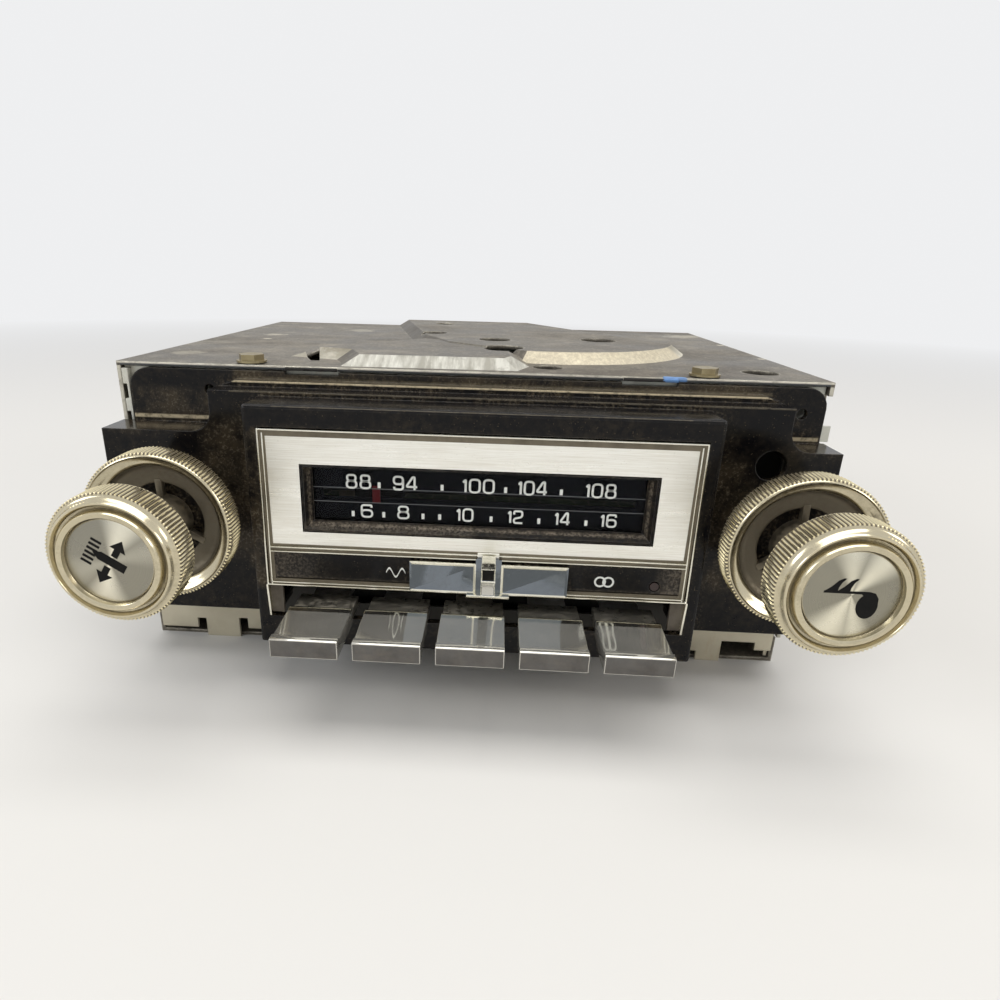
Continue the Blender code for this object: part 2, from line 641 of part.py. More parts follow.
def top_cover(finish):
    cover = cover_form("top_cover", COVER_HALF, CASE_HEIGHT, SIDE_SKIRT_BOTTOM)
    inside = cover_form(
        "cover_inside", COVER_HALF - SHEET, CASE_HEIGHT - SHEET, SIDE_SKIRT_BOTTOM - OVERRUN
    )
    cut(cover, inside)
    for number, (x, y, radius) in enumerate(COVER_HOLE_SHARES):
        start = (x * CASE_WIDTH, FRONT_Y + y * CASE_DEPTH, CASE_HEIGHT - OVERRUN)
        cut(cover, rod(f"cover_hole_{number}", start, radius * CASE_WIDTH, OVERRUN * 3, SMALL_STEPS, "Z"))
    under = Matrix.Translation((0, 0, CASE_HEIGHT - OVERRUN))
    cut(cover, extruded("lance_slot", from_front_edge(LANCE_SHARES), OVERRUN * 2, under))
    for number, (x, y) in enumerate(screw_places()):
        start = (x, y, CASE_HEIGHT - OVERRUN)
        cut(cover, rod(f"cover_screw_hole_{number}", start, SCREW_SHANK_RADIUS + GAP, OVERRUN * 2, SMALL_STEPS, "Z"))
    for side in (-1, 1):
        middle = TONGUE_X_MIDDLE + side * TONGUE_SPREAD / 2
        tongue = box(
            f"tongue_{side}",
            (middle - TONGUE_WIDTH / 2, FRONT_Y - TONGUE_REACH, CASE_HEIGHT - SHEET),
            (middle + TONGUE_WIDTH / 2, FRONT_Y + SHEET, CASE_HEIGHT - SHEET / 4),
        )
        join(cover, tongue)
    notch = box(
        "side_notch",
        (COVER_HALF - SHEET * 2, FRONT_Y - OVERRUN, down(EAR_TOP_DROP + GAP)),
        (COVER_HALF + OVERRUN, FRONT_Y + SIDE_NOTCH_DEPTH, down(SIDE_NOTCH_TOP_DROP)),
    )
    cut(cover, notch)
    for number in range(SIDE_VENT_COUNT):
        y = SIDE_VENT_MIDDLE_Y + (number - (SIDE_VENT_COUNT - 1) / 2) * SIDE_VENT_PITCH
        low = (-COVER_HALF - OVERRUN, y - SIDE_VENT_WIDTH / 2, down(SIDE_VENT_DROP + SIDE_VENT_HEIGHT))
        high = (COVER_HALF + OVERRUN, y + SIDE_VENT_WIDTH / 2, down(SIDE_VENT_DROP))
        cut(cover, box(f"side_vent_{number}", low, high))
    return paint(cover, finish)


def bottom_cover(finish):
    start_y = CHASSIS_INSIDE_Y + GAP
    tray = box("bottom_cover", (-COVER_HALF, start_y, 0), (COVER_HALF, REAR_Y, BOTTOM_SKIRT_HEIGHT))
    hollow = box(
        "bottom_hollow",
        (-COVER_HALF + SHEET, start_y - OVERRUN, SHEET),
        (COVER_HALF - SHEET, REAR_Y + OVERRUN, BOTTOM_SKIRT_HEIGHT + OVERRUN),
    )
    return paint(cut(tray, hollow), finish)


def chassis(finish):
    frame = box(
        "chassis",
        (-CHASSIS_HALF, CHASSIS_FRONT_Y, CHASSIS_BOTTOM),
        (CHASSIS_HALF, REAR_Y, CHASSIS_TOP),
    )
    join(
        frame,
        box(
            "tab_flange",
            (-CHASSIS_HALF, CHASSIS_FRONT_Y, 0),
            (CHASSIS_HALF, CHASSIS_INSIDE_Y, TAB_FLANGE_HEIGHT),
        ),
    )
    cut(
        frame,
        box(
            "chassis_hollow",
            (-CHASSIS_HALF + SHEET, CHASSIS_INSIDE_Y, -OVERRUN),
            (CHASSIS_HALF - SHEET, REAR_Y - SHEET, CASE_HEIGHT + OVERRUN),
        ),
        box(
            "front_window",
            (NOSE_X - BUTTON_SPAN / 2, CHASSIS_FRONT_Y - OVERRUN, down(NOSE_BOTTOM_DROP)),
            (NOSE_X + BUTTON_SPAN / 2, CHASSIS_INSIDE_Y + SHEET, down(BEZEL_TOP_DROP)),
        ),
    )
    for number, (left, right, height) in enumerate(TAB_NOTCH_SHARES):
        low = (left * COVER_HALF, CHASSIS_FRONT_Y - SHEET, -OVERRUN)
        high = (right * COVER_HALF, CHASSIS_INSIDE_Y + SHEET, height * TAB_FLANGE_HEIGHT)
        cut(frame, box(f"tab_notch_{number}", low, high))
    lip_front = PLATE_FRONT_Y + SIDE_LIP_SETBACK
    side_lip = box(
        "side_lip",
        (-CHASSIS_HALF + GAP / 3, lip_front, down(EAR_TOP_DROP)),
        (-CHASSIS_HALF + SIDE_LIP_WIDTH, CHASSIS_FRONT_Y + SHEET / 2, CHASSIS_TOP - SHEET / 2),
    )
    tab_top = down(EAR_TOP_DROP - SIDE_TAB_HEIGHT)
    side_tab = box(
        "side_tab",
        (CHASSIS_HALF - SHEET / 2, CHASSIS_FRONT_Y + GAP / 3, down(EAR_TOP_DROP)),
        (COVER_HALF + SIDE_TAB_REACH, CHASSIS_INSIDE_Y - GAP / 3, tab_top),
    )
    join(frame, side_lip, side_tab)
    for number, (centre, height) in enumerate(FLANGE_SLOT_SHARES):
        low = (-COVER_HALF + SHEET, lip_front - SHEET, (centre - height) * CASE_HEIGHT)
        high = (
            -COVER_HALF + SHEET + GAP + FLANGE_SLOT_WIDTH,
            CHASSIS_INSIDE_Y + SHEET,
            (centre + height) * CASE_HEIGHT,
        )
        cut(frame, box(f"flange_slot_{number}", low, high))
    for name, x in (("left", LEFT_SHAFT_X), ("right", RIGHT_SHAFT_X)):
        start = (x, CHASSIS_FRONT_Y - OVERRUN, SHAFT_Z)
        cut(frame, rod(f"bushing_hole_{name}", start, BUSHING_RADIUS + GAP, OVERRUN * 2 + SHEET))
    for name, (x, drop) in (("left", PLATE_HOLE_LEFT), ("right", PLATE_HOLE_RIGHT)):
        start = (x, CHASSIS_FRONT_Y - OVERRUN, down(drop))
        cut(frame, rod(f"fixing_hole_{name}", start, PLATE_HOLE_RADIUS, OVERRUN * 2 + SHEET, SMALL_STEPS))
    lip = box(
        "front_lip",
        (-CHASSIS_HALF, CHASSIS_FRONT_Y, CHASSIS_TOP - SHEET),
        (CHASSIS_HALF, CHASSIS_FRONT_Y + FRONT_LIP_DEPTH, CHASSIS_TOP),
    )
    join(frame, lip)
    for number, (x, y) in enumerate(screw_places()):
        start = (x, y, CHASSIS_TOP - OVERRUN)
        cut(frame, rod(f"lip_hole_{number}", start, SCREW_SHANK_RADIUS + GAP, OVERRUN * 2, SMALL_STEPS, "Z"))
    rear = REAR_Y - SHEET - OVERRUN
    cut(frame, rod("socket_hole", (SOCKET_X, rear, SOCKET_HEIGHT), SOCKET_RADIUS + GAP, OVERRUN * 2 + SHEET))
    for name, x, width in (("power", CONNECTOR_X, CONNECTOR_WIDTH), ("speaker", SPEAKER_X, SPEAKER_WIDTH)):
        low = (x - width / 2 - GAP, rear, CONNECTOR_Z - CONNECTOR_HEIGHT / 2 - GAP)
        high = (x + width / 2 + GAP, REAR_Y + OVERRUN, CONNECTOR_Z + CONNECTOR_HEIGHT / 2 + GAP)
        cut(frame, box(f"{name}_cutout", low, high))
    return paint(frame, finish)


def hex_head(name, across, thickness, matrix):
    radius = across / 2 / cos(pi / 6)
    outline = arc((0, 0), radius, 0, 2 * pi, 6)[:-1]
    return extruded(name, outline, thickness, matrix)


def screw(name, matrix, finish):
    """A hexagon-headed sheet screw. Its head stands along local +Z and its shank along -Z."""
    lift = Matrix.Translation((0, 0, SCREW_WASHER / 2))
    head = hex_head(name, SCREW_ACROSS, SCREW_HEAD, matrix @ lift)
    flange = [
        (0, SCREW_WASHER), (SCREW_WASHER_RADIUS, SCREW_WASHER), (SCREW_WASHER_RADIUS, 0),
        (SCREW_SHANK_RADIUS, 0), (SCREW_SHANK_RADIUS, -SCREW_LENGTH), (0, -SCREW_LENGTH),
    ]
    return paint(join(head, turned(name + "_shank", flange, matrix, SMALL_STEPS)), finish)


def screws(finish):
    for number, (x, y) in enumerate(screw_places(), 1):
        screw(f"cover_screw_{number}", Matrix.Translation((x, y, CASE_HEIGHT + GAP)), finish)


def body_outline():
    """Front view of the ears and the upper body, which meets them in two fillets."""
    ear_top = down(EAR_TOP_DROP)
    corner = ear_top + BODY_FILLET
    left = arc((BODY_LEFT_X - BODY_FILLET, corner), BODY_FILLET, 0, radians(-90), 6)
    right = arc((BODY_RIGHT_X + BODY_FILLET, corner), BODY_FILLET, radians(-90), radians(-180), 6)
    return (
        [(-COVER_HALF, down(EAR_BOTTOM_DROP)), (COVER_HALF, down(EAR_BOTTOM_DROP)), (COVER_HALF, ear_top)]
        + right
        + [(BODY_RIGHT_X, down(BODY_TOP_DROP)), (BODY_LEFT_X, down(BODY_TOP_DROP))]
        + left
        + [(-COVER_HALF, ear_top)]
    )


def plate_outline():
    left = -COVER_HALF + PLATE_LEFT_MARGIN
    right = COVER_HALF - PLATE_RIGHT_MARGIN
    top = down(PLATE_DROP)
    corner = PLATE_CORNER
    return (
        [(left, down(PLATE_BOTTOM_DROP)), (right, down(PLATE_BOTTOM_DROP))]
        + arc((right - corner, top - corner), corner, 0, radians(90), 6)
        + arc((left + corner, top - corner), corner, radians(90), radians(180), 6)
    )


def ledge_outline():
    """Front view of the ledge on the upper body, with a slanted gusset at each end."""
    left, right = BODY_LEFT_X + LEDGE_INSET, BODY_RIGHT_X - LEDGE_INSET
    low, middle, high = (down(BODY_TOP_DROP + rise) for rise in (LEDGE_RISE, 0, -LEDGE_RISE))
    return [
        (left - LEDGE_GUSSET, low), (right + LEDGE_GUSSET, low), (right + LEDGE_GUSSET, middle), (right, high),
        (left, high), (left - LEDGE_GUSSET, middle),
    ]


def front_housing(finish):
    housing = extruded(
        "front_housing", plate_outline(), PLATE_THICKNESS, facing_front(0, PLATE_BACK_Y, 0)
    )
    ears = extruded("ears", body_outline(), EAR_AHEAD - GAP, facing_front(0, FRONT_Y - GAP, 0))
    ledge_back = PLATE_FRONT_Y + PLATE_THICKNESS / 2
    ledge = extruded("ledge", ledge_outline(), ledge_back - ahead(LEDGE_AHEAD), facing_front(0, ledge_back, 0))
    nose = box(
        "nose",
        (NOSE_X - NOSE_HALF, NOSE_Y, down(NOSE_BOTTOM_DROP)),
        (NOSE_X + NOSE_HALF, EAR_Y + HOUSING_WALL / 2, down(NOSE_TOP_DROP)),
    )
    bevel(nose, NOSE_EDGE, 2)
    join(housing, ears, ledge, nose)
    back = PLATE_BACK_Y + OVERRUN
    wall = HOUSING_WALL
    cut(
        housing,
        box(
            "ear_hollow",
            (-CHASSIS_HALF + wall, EAR_Y + wall, down(EAR_BOTTOM_DROP) + wall),
            (CHASSIS_HALF - wall, back, down(EAR_TOP_DROP) - wall),
        ),
        box(
            "body_hollow",
            (BODY_LEFT_X + wall, EAR_Y + wall, down(EAR_TOP_DROP) - wall * 2),
            (BODY_RIGHT_X - wall, back, down(BODY_TOP_DROP) - wall),
        ),
        box(
            "nose_hollow",
            (NOSE_X - NOSE_HALF + wall, NOSE_Y + wall, down(NOSE_BOTTOM_DROP) + wall),
            (NOSE_X + NOSE_HALF - wall, back, down(NOSE_TOP_DROP) - wall),
        ),
        box(
            "bezel_opening",
            (NOSE_X - BEZEL_HALF - GAP, NOSE_Y - OVERRUN, down(BEZEL_BOTTOM_DROP) - GAP),
            (NOSE_X + BEZEL_HALF + GAP, NOSE_Y + wall * 2, down(BEZEL_TOP_DROP) + GAP),
        ),
    )
    for name, x in (("left", LEFT_SHAFT_X), ("right", RIGHT_SHAFT_X)):
        start = (x, EAR_Y - OVERRUN, SHAFT_Z)
        cut(housing, rod(f"ear_bushing_hole_{name}", start, BUSHING_RADIUS + GAP, OVERRUN * 2 + wall))
    trim_start = (TRIM_HOLE_X, EAR_Y - OVERRUN, down(TRIM_HOLE_DROP))
    cut(housing, rod("trim_hole", trim_start, TRIM_HOLE_RADIUS, EAR_AHEAD + OVERRUN * 2))
    for name, (x, drop) in (("left", PLATE_HOLE_LEFT), ("right", PLATE_HOLE_RIGHT)):
        start = (x, PLATE_FRONT_Y - OVERRUN, down(drop))
        cut(housing, rod(f"plate_hole_{name}", start, PLATE_HOLE_RADIUS, OVERRUN * 2, SMALL_STEPS))
    for side in (-1, 1):
        start = (NOSE_X + side * EAR_SCREW_HOLE_SPREAD / 2, EAR_Y - OVERRUN, down(EAR_SCREW_HOLE_DROP))
        cut(housing, rod(f"ear_hole_{side}", start, EAR_SCREW_HOLE_RADIUS, OVERRUN * 2, SMALL_STEPS))
        middle = TONGUE_X_MIDDLE + side * TONGUE_SPREAD / 2
        low = (
            middle - TONGUE_WIDTH / 2 - GAP, PLATE_FRONT_Y - OVERRUN, CASE_HEIGHT - SHEET - GAP * 2 - SHEET / 2
        )
        high = (middle + TONGUE_WIDTH / 2 + GAP, PLATE_BACK_Y + SHEET, CASE_HEIGHT)
        cut(housing, box(f"tongue_notch_{side}", low, high))
    return paint(housing, finish)


def bezel_frame(finish):
    left, right = NOSE_X - BEZEL_HALF, NOSE_X + BEZEL_HALF
    back = BEZEL_Y + BEZEL_THICKNESS
    frame = box("bezel_frame", (left, BEZEL_Y, down(BEZEL_BOTTOM_DROP)), (right, back, down(BEZEL_TOP_DROP)))
    openings = (
        ("plate_opening", BEZEL_RAIL, DIVIDER_DROP - BEZEL_RAIL, BEZEL_TOP_DROP + BEZEL_RAIL),
        ("strip_opening", BEZEL_RAIL, STRIP_BOTTOM_DROP - BEZEL_RAIL, DIVIDER_DROP + BEZEL_RAIL / 2),
        ("button_opening", LEG_WIDTH, BEZEL_BOTTOM_DROP + OVERRUN, STRIP_BOTTOM_DROP),
    )
    for name, side, low_drop, high_drop in openings:
        low = (left + side, BEZEL_Y - OVERRUN, down(low_drop))
        cut(frame, box(name, low, (right - side, back + OVERRUN, down(high_drop))))
    bevel(frame, PLATE_SINK / 2)
    return paint(frame, finish)


def trim_plate(finish):
    half = BEZEL_HALF - BEZEL_RAIL - GAP
    top = down(BEZEL_TOP_DROP + BEZEL_RAIL + GAP)
    bottom = down(DIVIDER_DROP - BEZEL_RAIL - GAP)
    plate = box("trim_plate", (NOSE_X - half, TRIM_Y, bottom), (NOSE_X + half, TRIM_Y + TRIM_THICKNESS, top))
    window = box(
        "trim_window",
        (NOSE_X - WINDOW_HALF, TRIM_Y - OVERRUN, down(WINDOW_BOTTOM_DROP)),
        (NOSE_X + WINDOW_HALF, TRIM_Y + OVERRUN, down(WINDOW_TOP_DROP)),
    )
    return paint(cut(plate, window), finish)


def window_frame(finish):
    """Black inner frame whose four sides slope back from the brushed plate to the lens."""
    half = WINDOW_HALF - GAP
    top, bottom = down(WINDOW_TOP_DROP + GAP), down(WINDOW_BOTTOM_DROP - GAP)
    frame = box("window_frame", (NOSE_X - half, TRIM_Y, bottom), (NOSE_X + half, WINDOW_FRAME_BACK_Y, top))
    lip = GAP
    slope = tapered_box(
        "window_slope",
        (NOSE_X - half + lip, TRIM_Y - GAP, bottom + lip),
        (NOSE_X + half - lip, WINDOW_FRAME_BACK_Y + GAP, top - lip),
        0,
        0,
    )
    for vertex in slope.data.vertices:
        if vertex.co.y > TRIM_Y:
            vertex.co.x += WINDOW_BEVEL if vertex.co.x < NOSE_X else -WINDOW_BEVEL
            vertex.co.z += WINDOW_BEVEL if vertex.co.z < (top + bottom) / 2 else -WINDOW_TOP_BEVEL
    return paint(cut(frame, slope), finish)


def window_inside(margin):
    """Low and high corners, in X and Z, of a pane that overlaps the window by the margin."""
    half = WINDOW_HALF - WINDOW_BEVEL + margin
    bottom = down(WINDOW_BOTTOM_DROP - WINDOW_BEVEL + margin)
    top = down(WINDOW_TOP_DROP + WINDOW_TOP_BEVEL - margin)
    return NOSE_X - half, bottom, NOSE_X + half, top


def dial_lens(finish):
    left, bottom, right, top = window_inside(LENS_MARGIN)
    return paint(box("dial_lens", (left, LENS_Y, bottom), (right, LENS_Y + LENS_THICKNESS, top)), finish)


def dial_scale(finish):
    left, bottom, right, top = window_inside(DIAL_MARGIN)
    scale = box("dial_scale", (left, DIAL_Y, bottom), (right, DIAL_BACK_Y, top))
    middle = down(DIAL_SLOT_DROP)
    slot = box(
        "dial_slot",
        (NOSE_X - DIAL_SLOT_HALF, DIAL_Y - OVERRUN, middle - DIAL_SLOT_HEIGHT / 2),
        (NOSE_X + DIAL_SLOT_HALF, DIAL_BACK_Y + OVERRUN, middle + DIAL_SLOT_HEIGHT / 2),
    )
    return paint(cut(scale, slot), finish)


def light_box(finish):
    """Open box behind the window that carries the lens, the scale, the rail and the lamp."""
    left, bottom, right, top = window_inside(DIAL_MARGIN + GAP)
    wall = LIGHT_BOX_WALL
    back = LENS_Y + LIGHT_BOX_DEPTH
    shell = box("light_box", (left - wall, LENS_Y, bottom - wall), (right + wall, back, top + wall))
    hollow = box("light_box_hollow", (left, LENS_Y - OVERRUN, bottom), (right, back + OVERRUN, top))
    cut(shell, hollow)
    x, y = lamp_place()
    half = LAMP_HOLDER_SIZE / 2
    holder = box("lamp_holder", (x - half, y - half, top), (x + half, y + half, top + LAMP_LENGTH / 2))
    bore = rod("lamp_bore", (x, y, top - OVERRUN), LAMP_RADIUS + GAP, OVERRUN * 3, SMALL_STEPS, "Z")
    return paint(cut(join(shell, holder), bore), finish)


def lamp_place():
    return NOSE_X + LAMP_X, DIAL_BACK_Y + LAMP_RECESS + LAMP_HOLDER_SIZE / 2


def dial_lamp(finish):
    """Small bulb that lights the scale from above."""
    top = window_inside(DIAL_MARGIN + GAP)[3]
    start = (*lamp_place(), top - LAMP_RADIUS)
    bulb = rod("dial_lamp", start, LAMP_RADIUS, LAMP_LENGTH, SMALL_STEPS, "Z")
    bevel(bulb, LAMP_RADIUS / 2, 2, 60)
    return paint(bulb, finish)


def indicator_strip(finish):
    half = BEZEL_HALF - BEZEL_RAIL - GAP
    bottom = down(STRIP_BOTTOM_DROP - BEZEL_RAIL - GAP)
    top = down(DIVIDER_DROP + BEZEL_RAIL / 2 + GAP)
    strip = box("indicator_strip", (NOSE_X - half, TRIM_Y, bottom), (NOSE_X + half, TRIM_Y + TRIM_THICKNESS, top))
    middle = (bottom + top) / 2
    x = NOSE_X + BAND_X
    slot = box(
        "arm_slot",
        (x - BAND_ARM_WIDTH / 2 - BAND_TRAVEL - GAP, TRIM_Y - OVERRUN, middle - BAND_ARM_HEIGHT / 2 - GAP),
        (x + BAND_ARM_WIDTH / 2 + GAP, TRIM_Y + OVERRUN, middle + BAND_ARM_HEIGHT / 2 + GAP),
    )
    start = (NOSE_X + JEWEL_X, TRIM_Y - OVERRUN, down(JEWEL_DROP))
    hole = rod("jewel_hole", start, JEWEL_RADIUS + GAP, OVERRUN * 2, SMALL_STEPS)
    return paint(cut(strip, slot, hole), finish)


def indicator_jewel(finish):
    start = (NOSE_X + JEWEL_X, TRIM_Y, down(JEWEL_DROP))
    return paint(rod("indicator_jewel", start, JEWEL_RADIUS, JEWEL_LENGTH, SMALL_STEPS), finish)


def strip_middle():
    low = down(STRIP_BOTTOM_DROP - BEZEL_RAIL - GAP)
    return (low + down(DIVIDER_DROP + BEZEL_RAIL / 2 + GAP)) / 2


def band_slider(finish):
    x = NOSE_X + BAND_X
    back = BEZEL_Y - GAP
    front = back - BAND_PLATE_THICKNESS
    half = BAND_PLATE_WIDTH / 2
    top = down(BAND_PLATE_TOP_DROP)
    slider = box("band_slider", (x - half, front, top - BAND_PLATE_HEIGHT), (x + half, back, top))
    tab_top = down(TAB_TOP_DROP)
    draw = (TAB_ROOT_WIDTH - TAB_TIP_WIDTH) / 2
    tab = tapered_box(
        "finger_tab",
        (x - TAB_ROOT_WIDTH / 2, front - TAB_REACH, tab_top - TAB_HEIGHT),
        (x + TAB_ROOT_WIDTH / 2, back - BAND_PLATE_THICKNESS / 2, tab_top),
        draw,
        draw / 3,
    )
    bevel(tab, draw / 3, 2)
    foot_low = top - BAND_PLATE_HEIGHT + GAP
    foot = box(
        "tab_foot",
        (x - FOOT_WIDTH / 2, front - FOOT_REACH, foot_low),
        (x + FOOT_WIDTH / 2, back - BAND_PLATE_THICKNESS / 2, foot_low + FOOT_HEIGHT),
    )
    arm_half = BAND_ARM_WIDTH / 2
    middle = strip_middle()
    arm = box(
        "slider_arm",
        (x - arm_half, front + BAND_PLATE_THICKNESS / 2, middle - BAND_ARM_HEIGHT / 2),
        (x + arm_half, TRIM_Y + BAND_ARM_LENGTH, middle + BAND_ARM_HEIGHT / 2),
    )
    return paint(join(slider, tab, foot, arm), finish)


def band_switch(finish):
    """Small slide switch fixed behind the strip, worked by the slider's arm."""
    x = NOSE_X + BAND_X
    middle = strip_middle()
    start = TRIM_Y + TRIM_THICKNESS + GAP
    arm_end = TRIM_Y + BAND_ARM_LENGTH
    half = BAND_SWITCH_WIDTH / 2
    height = BAND_ARM_HEIGHT * 2
    body = box(
        "band_switch",
        (x - BAND_TRAVEL / 2 - half, arm_end - BAND_SWITCH_DEPTH / 2, middle - height),
        (x - BAND_TRAVEL / 2 + half, arm_end + BAND_SWITCH_DEPTH / 2, middle + height),
    )
    track = box(
        "switch_track",
        (x - BAND_TRAVEL - BAND_ARM_WIDTH / 2 - GAP, start, middle - BAND_ARM_HEIGHT / 2 - GAP),
        (x + BAND_ARM_WIDTH / 2 + GAP, arm_end + GAP, middle + BAND_ARM_HEIGHT / 2 + GAP),
    )
    return paint(cut(body, track), finish)


def button_x(number):
    return NOSE_X + (number - (BUTTON_COUNT - 1) / 2) * BUTTON_PITCH


def button_cap(number, finish):
    """Side view of the cap, from its front face over the scooped top to the flat tail."""
    outline = [
        (-along * CAP_LENGTH, up * BUTTON_FACE_HEIGHT) for along, up in CAP_SHARES
    ]
    x = button_x(number) - BUTTON_WIDTH / 2
    side_view = Matrix.Translation((x, BUTTON_Y, BUTTON_BOTTOM)) @ Matrix(
        ((0, 0, 1, 0), (-1, 0, 0, 0), (0, 1, 0, 0), (0, 0, 0, 1))
    )
    return paint(extruded(f"button_{number + 1}", outline, BUTTON_WIDTH, side_view), finish)


def button_plunger(number, finish):
    """Steel blade behind the cap, then a collar and a round rod that carries the spring."""
    x = button_x(number)
    start = CAP_BACK_Y + GAP
    blade = box(
        f"plunger_{number + 1}",
        (x - BLADE_WIDTH / 2, start, BLADE_Z - BLADE_THICKNESS / 2),
        (x + BLADE_WIDTH / 2, COLLAR_Y + COLLAR_THICKNESS / 2, BLADE_Z + BLADE_THICKNESS / 2),
    )
    collar = rod(f"collar_{number}", (x, COLLAR_Y, BLADE_Z), COLLAR_RADIUS, COLLAR_THICKNESS, SMALL_STEPS)
    length = REAR_GUIDE_Y + GUIDE_SHEET + ROD_TAIL - COLLAR_Y
    tail = rod(f"tail_{number}", (x, COLLAR_Y, BLADE_Z), ROD_RADIUS, length, SMALL_STEPS)
    return paint(join(blade, collar, tail), finish)


def least_gap(points, wire):
    """Least clear distance between turns of one wire, measured on its points."""
    apart = SPRING_POINTS_PER_TURN // 2
    return min(
        (first - second).length - wire * 2
        for index, first in enumerate(points) for second in points[index + apart:]
    )


def button_spring(number, finish):
    """Return spring between the collar and the rear guide, as one helix."""
    x = button_x(number)
    start = COLLAR_Y + COLLAR_THICKNESS + GAP + SPRING_WIRE
    end = REAR_GUIDE_Y - GAP - SPRING_WIRE
    curve = bpy.data.curves.new(f"spring_{number + 1}", "CURVE")
    curve.dimensions = "3D"
    curve.bevel_depth = SPRING_WIRE
    curve.bevel_resolution = SPRING_SIDES_RESOLUTION
    curve.use_fill_caps = True
    steps = SPRING_TURNS * SPRING_POINTS_PER_TURN
    spline = curve.splines.new("POLY")
    spline.points.add(steps)
    for step, point in enumerate(spline.points):
        turn = 2 * pi * step / SPRING_POINTS_PER_TURN
        along = start + (end - start) * step / steps
        point.co = (x + SPRING_RADIUS * cos(turn), along, BLADE_Z + SPRING_RADIUS * sin(turn), 1)
    gap = least_gap([Vector(point.co[:3]) for point in spline.points], SPRING_WIRE)
    print(f"spring_{number + 1}: {steps + 1} points, least gap to itself {gap / MM:.2f} mm")
    shape = add_object(f"spring_curve_{number + 1}", curve)
    bpy.context.view_layer.update()
    graph = bpy.context.evaluated_depsgraph_get()
    mesh = bpy.data.meshes.new_from_object(shape.evaluated_get(graph))
    bpy.data.objects.remove(shape)
    bm = bmesh.new()
    bm.from_mesh(mesh)
    bpy.data.meshes.remove(mesh)
    bmesh.ops.remove_doubles(bm, verts=bm.verts, dist=GAP / 1000)
    return paint(mesh_from(f"spring_{number + 1}", bm), finish)


def button_guide(finish):
    """Bracket with a slotted front plate and a drilled rear plate that carry the plungers."""
    half = BUTTON_SPAN / 2 + GUIDE_SIDE_MARGIN
    low = SHEET + GAP
    top = BUTTON_BOTTOM + BUTTON_FACE_HEIGHT + GUIDE_TOP_RISE
    left, right = NOSE_X - half, NOSE_X + half
    guide = box("button_guide", (left, GUIDE_Y, low), (right, GUIDE_Y + GUIDE_SHEET, top))
    back = REAR_GUIDE_Y + GUIDE_SHEET
    rear = box("rear_guide", (left, REAR_GUIDE_Y, low), (right, back, top))
    floor = box("guide_floor", (left, GUIDE_Y, low), (right, back, low + GUIDE_SHEET))
    join(guide, rear, floor)
    for number in range(BUTTON_COUNT):
        x = button_x(number)
        slot = box(
            f"blade_slot_{number}",
            (x - BLADE_WIDTH / 2 - GAP, GUIDE_Y - OVERRUN, BLADE_Z - BLADE_THICKNESS / 2 - GAP),
            (x + BLADE_WIDTH / 2 + GAP, GUIDE_Y + GUIDE_SHEET + GAP, BLADE_Z + BLADE_THICKNESS / 2 + GAP),
        )
        hole = rod(
            f"rod_hole_{number}", (x, REAR_GUIDE_Y - SHEET, BLADE_Z), ROD_RADIUS + GAP,
            GUIDE_SHEET + OVERRUN, SMALL_STEPS,
        )
        cut(guide, slot, hole)
    return paint(guide, finish)


def ribbed_outline(radius, depth, count):
    """Straight knurl: each rib rises from the root circle to the full radius and back."""
    outline = []
    for rib in range(count):
        for share, reach in ((0.0, 0), (0.5, depth)):
            angle = 2 * pi * (rib + share) / count
            outline.append(((radius - reach) * cos(angle), (radius - reach) * sin(angle)))
    return outline


def knob_face():
    """Flat middle disc, a bead, a groove, a second bead and a sloped shoulder."""
    core = KNOB_RADIUS - KNOB_RIB_DEPTH * 2
    disc = KNOB_DISC_RADIUS
    step = (core - disc) / 4
    rise = KNOB_FACE_RISE
    return [
        (0, rise * 0.80), (disc, rise * 0.80), (disc, rise), (disc + step * 0.6, rise),
        (disc + step * 1.4, rise * 0.60), (disc + step * 2.0, rise * 0.64), (disc + step * 2.8, rise * 0.34),
        (core, rise * 0.22), (core - KNOB_RIB_DEPTH, -KNOB_WALL / 2), (0, -KNOB_WALL / 2),
    ]


def knob_hollow():
    """The space behind the face, round the hub."""
    side = KNOB_RADIUS - KNOB_RIB_DEPTH * 2 - KNOB_WALL
    return [
        (0, -KNOB_HUB_LENGTH), (KNOB_HUB_RADIUS, -KNOB_HUB_LENGTH), (KNOB_HUB_RADIUS, -KNOB_WALL),
        (side, -KNOB_WALL), (side, -KNOB_BAND - OVERRUN), (0, -KNOB_BAND - OVERRUN),
    ]


def knob(name, x, finish):
    band_y = ahead(KNOB_AHEAD - KNOB_FACE_RISE)
    outline = ribbed_outline(KNOB_RADIUS, KNOB_RIB_DEPTH, KNOB_RIBS)
    made = extruded(name, outline, KNOB_BAND, facing_front(x, band_y + KNOB_BAND, SHAFT_Z))
    front = facing_front(x, band_y, SHAFT_Z)
    join(made, turned(name + "_face", knob_face(), front))
    bore = rod(
        name + "_bore", (x, band_y + KNOB_WALL, SHAFT_Z), SHAFT_RADIUS + GAP, KNOB_HUB_LENGTH + OVERRUN,
        SMALL_STEPS,
    )
    return paint(cut(made, turned(name + "_hollow", knob_hollow(), front), bore), finish)


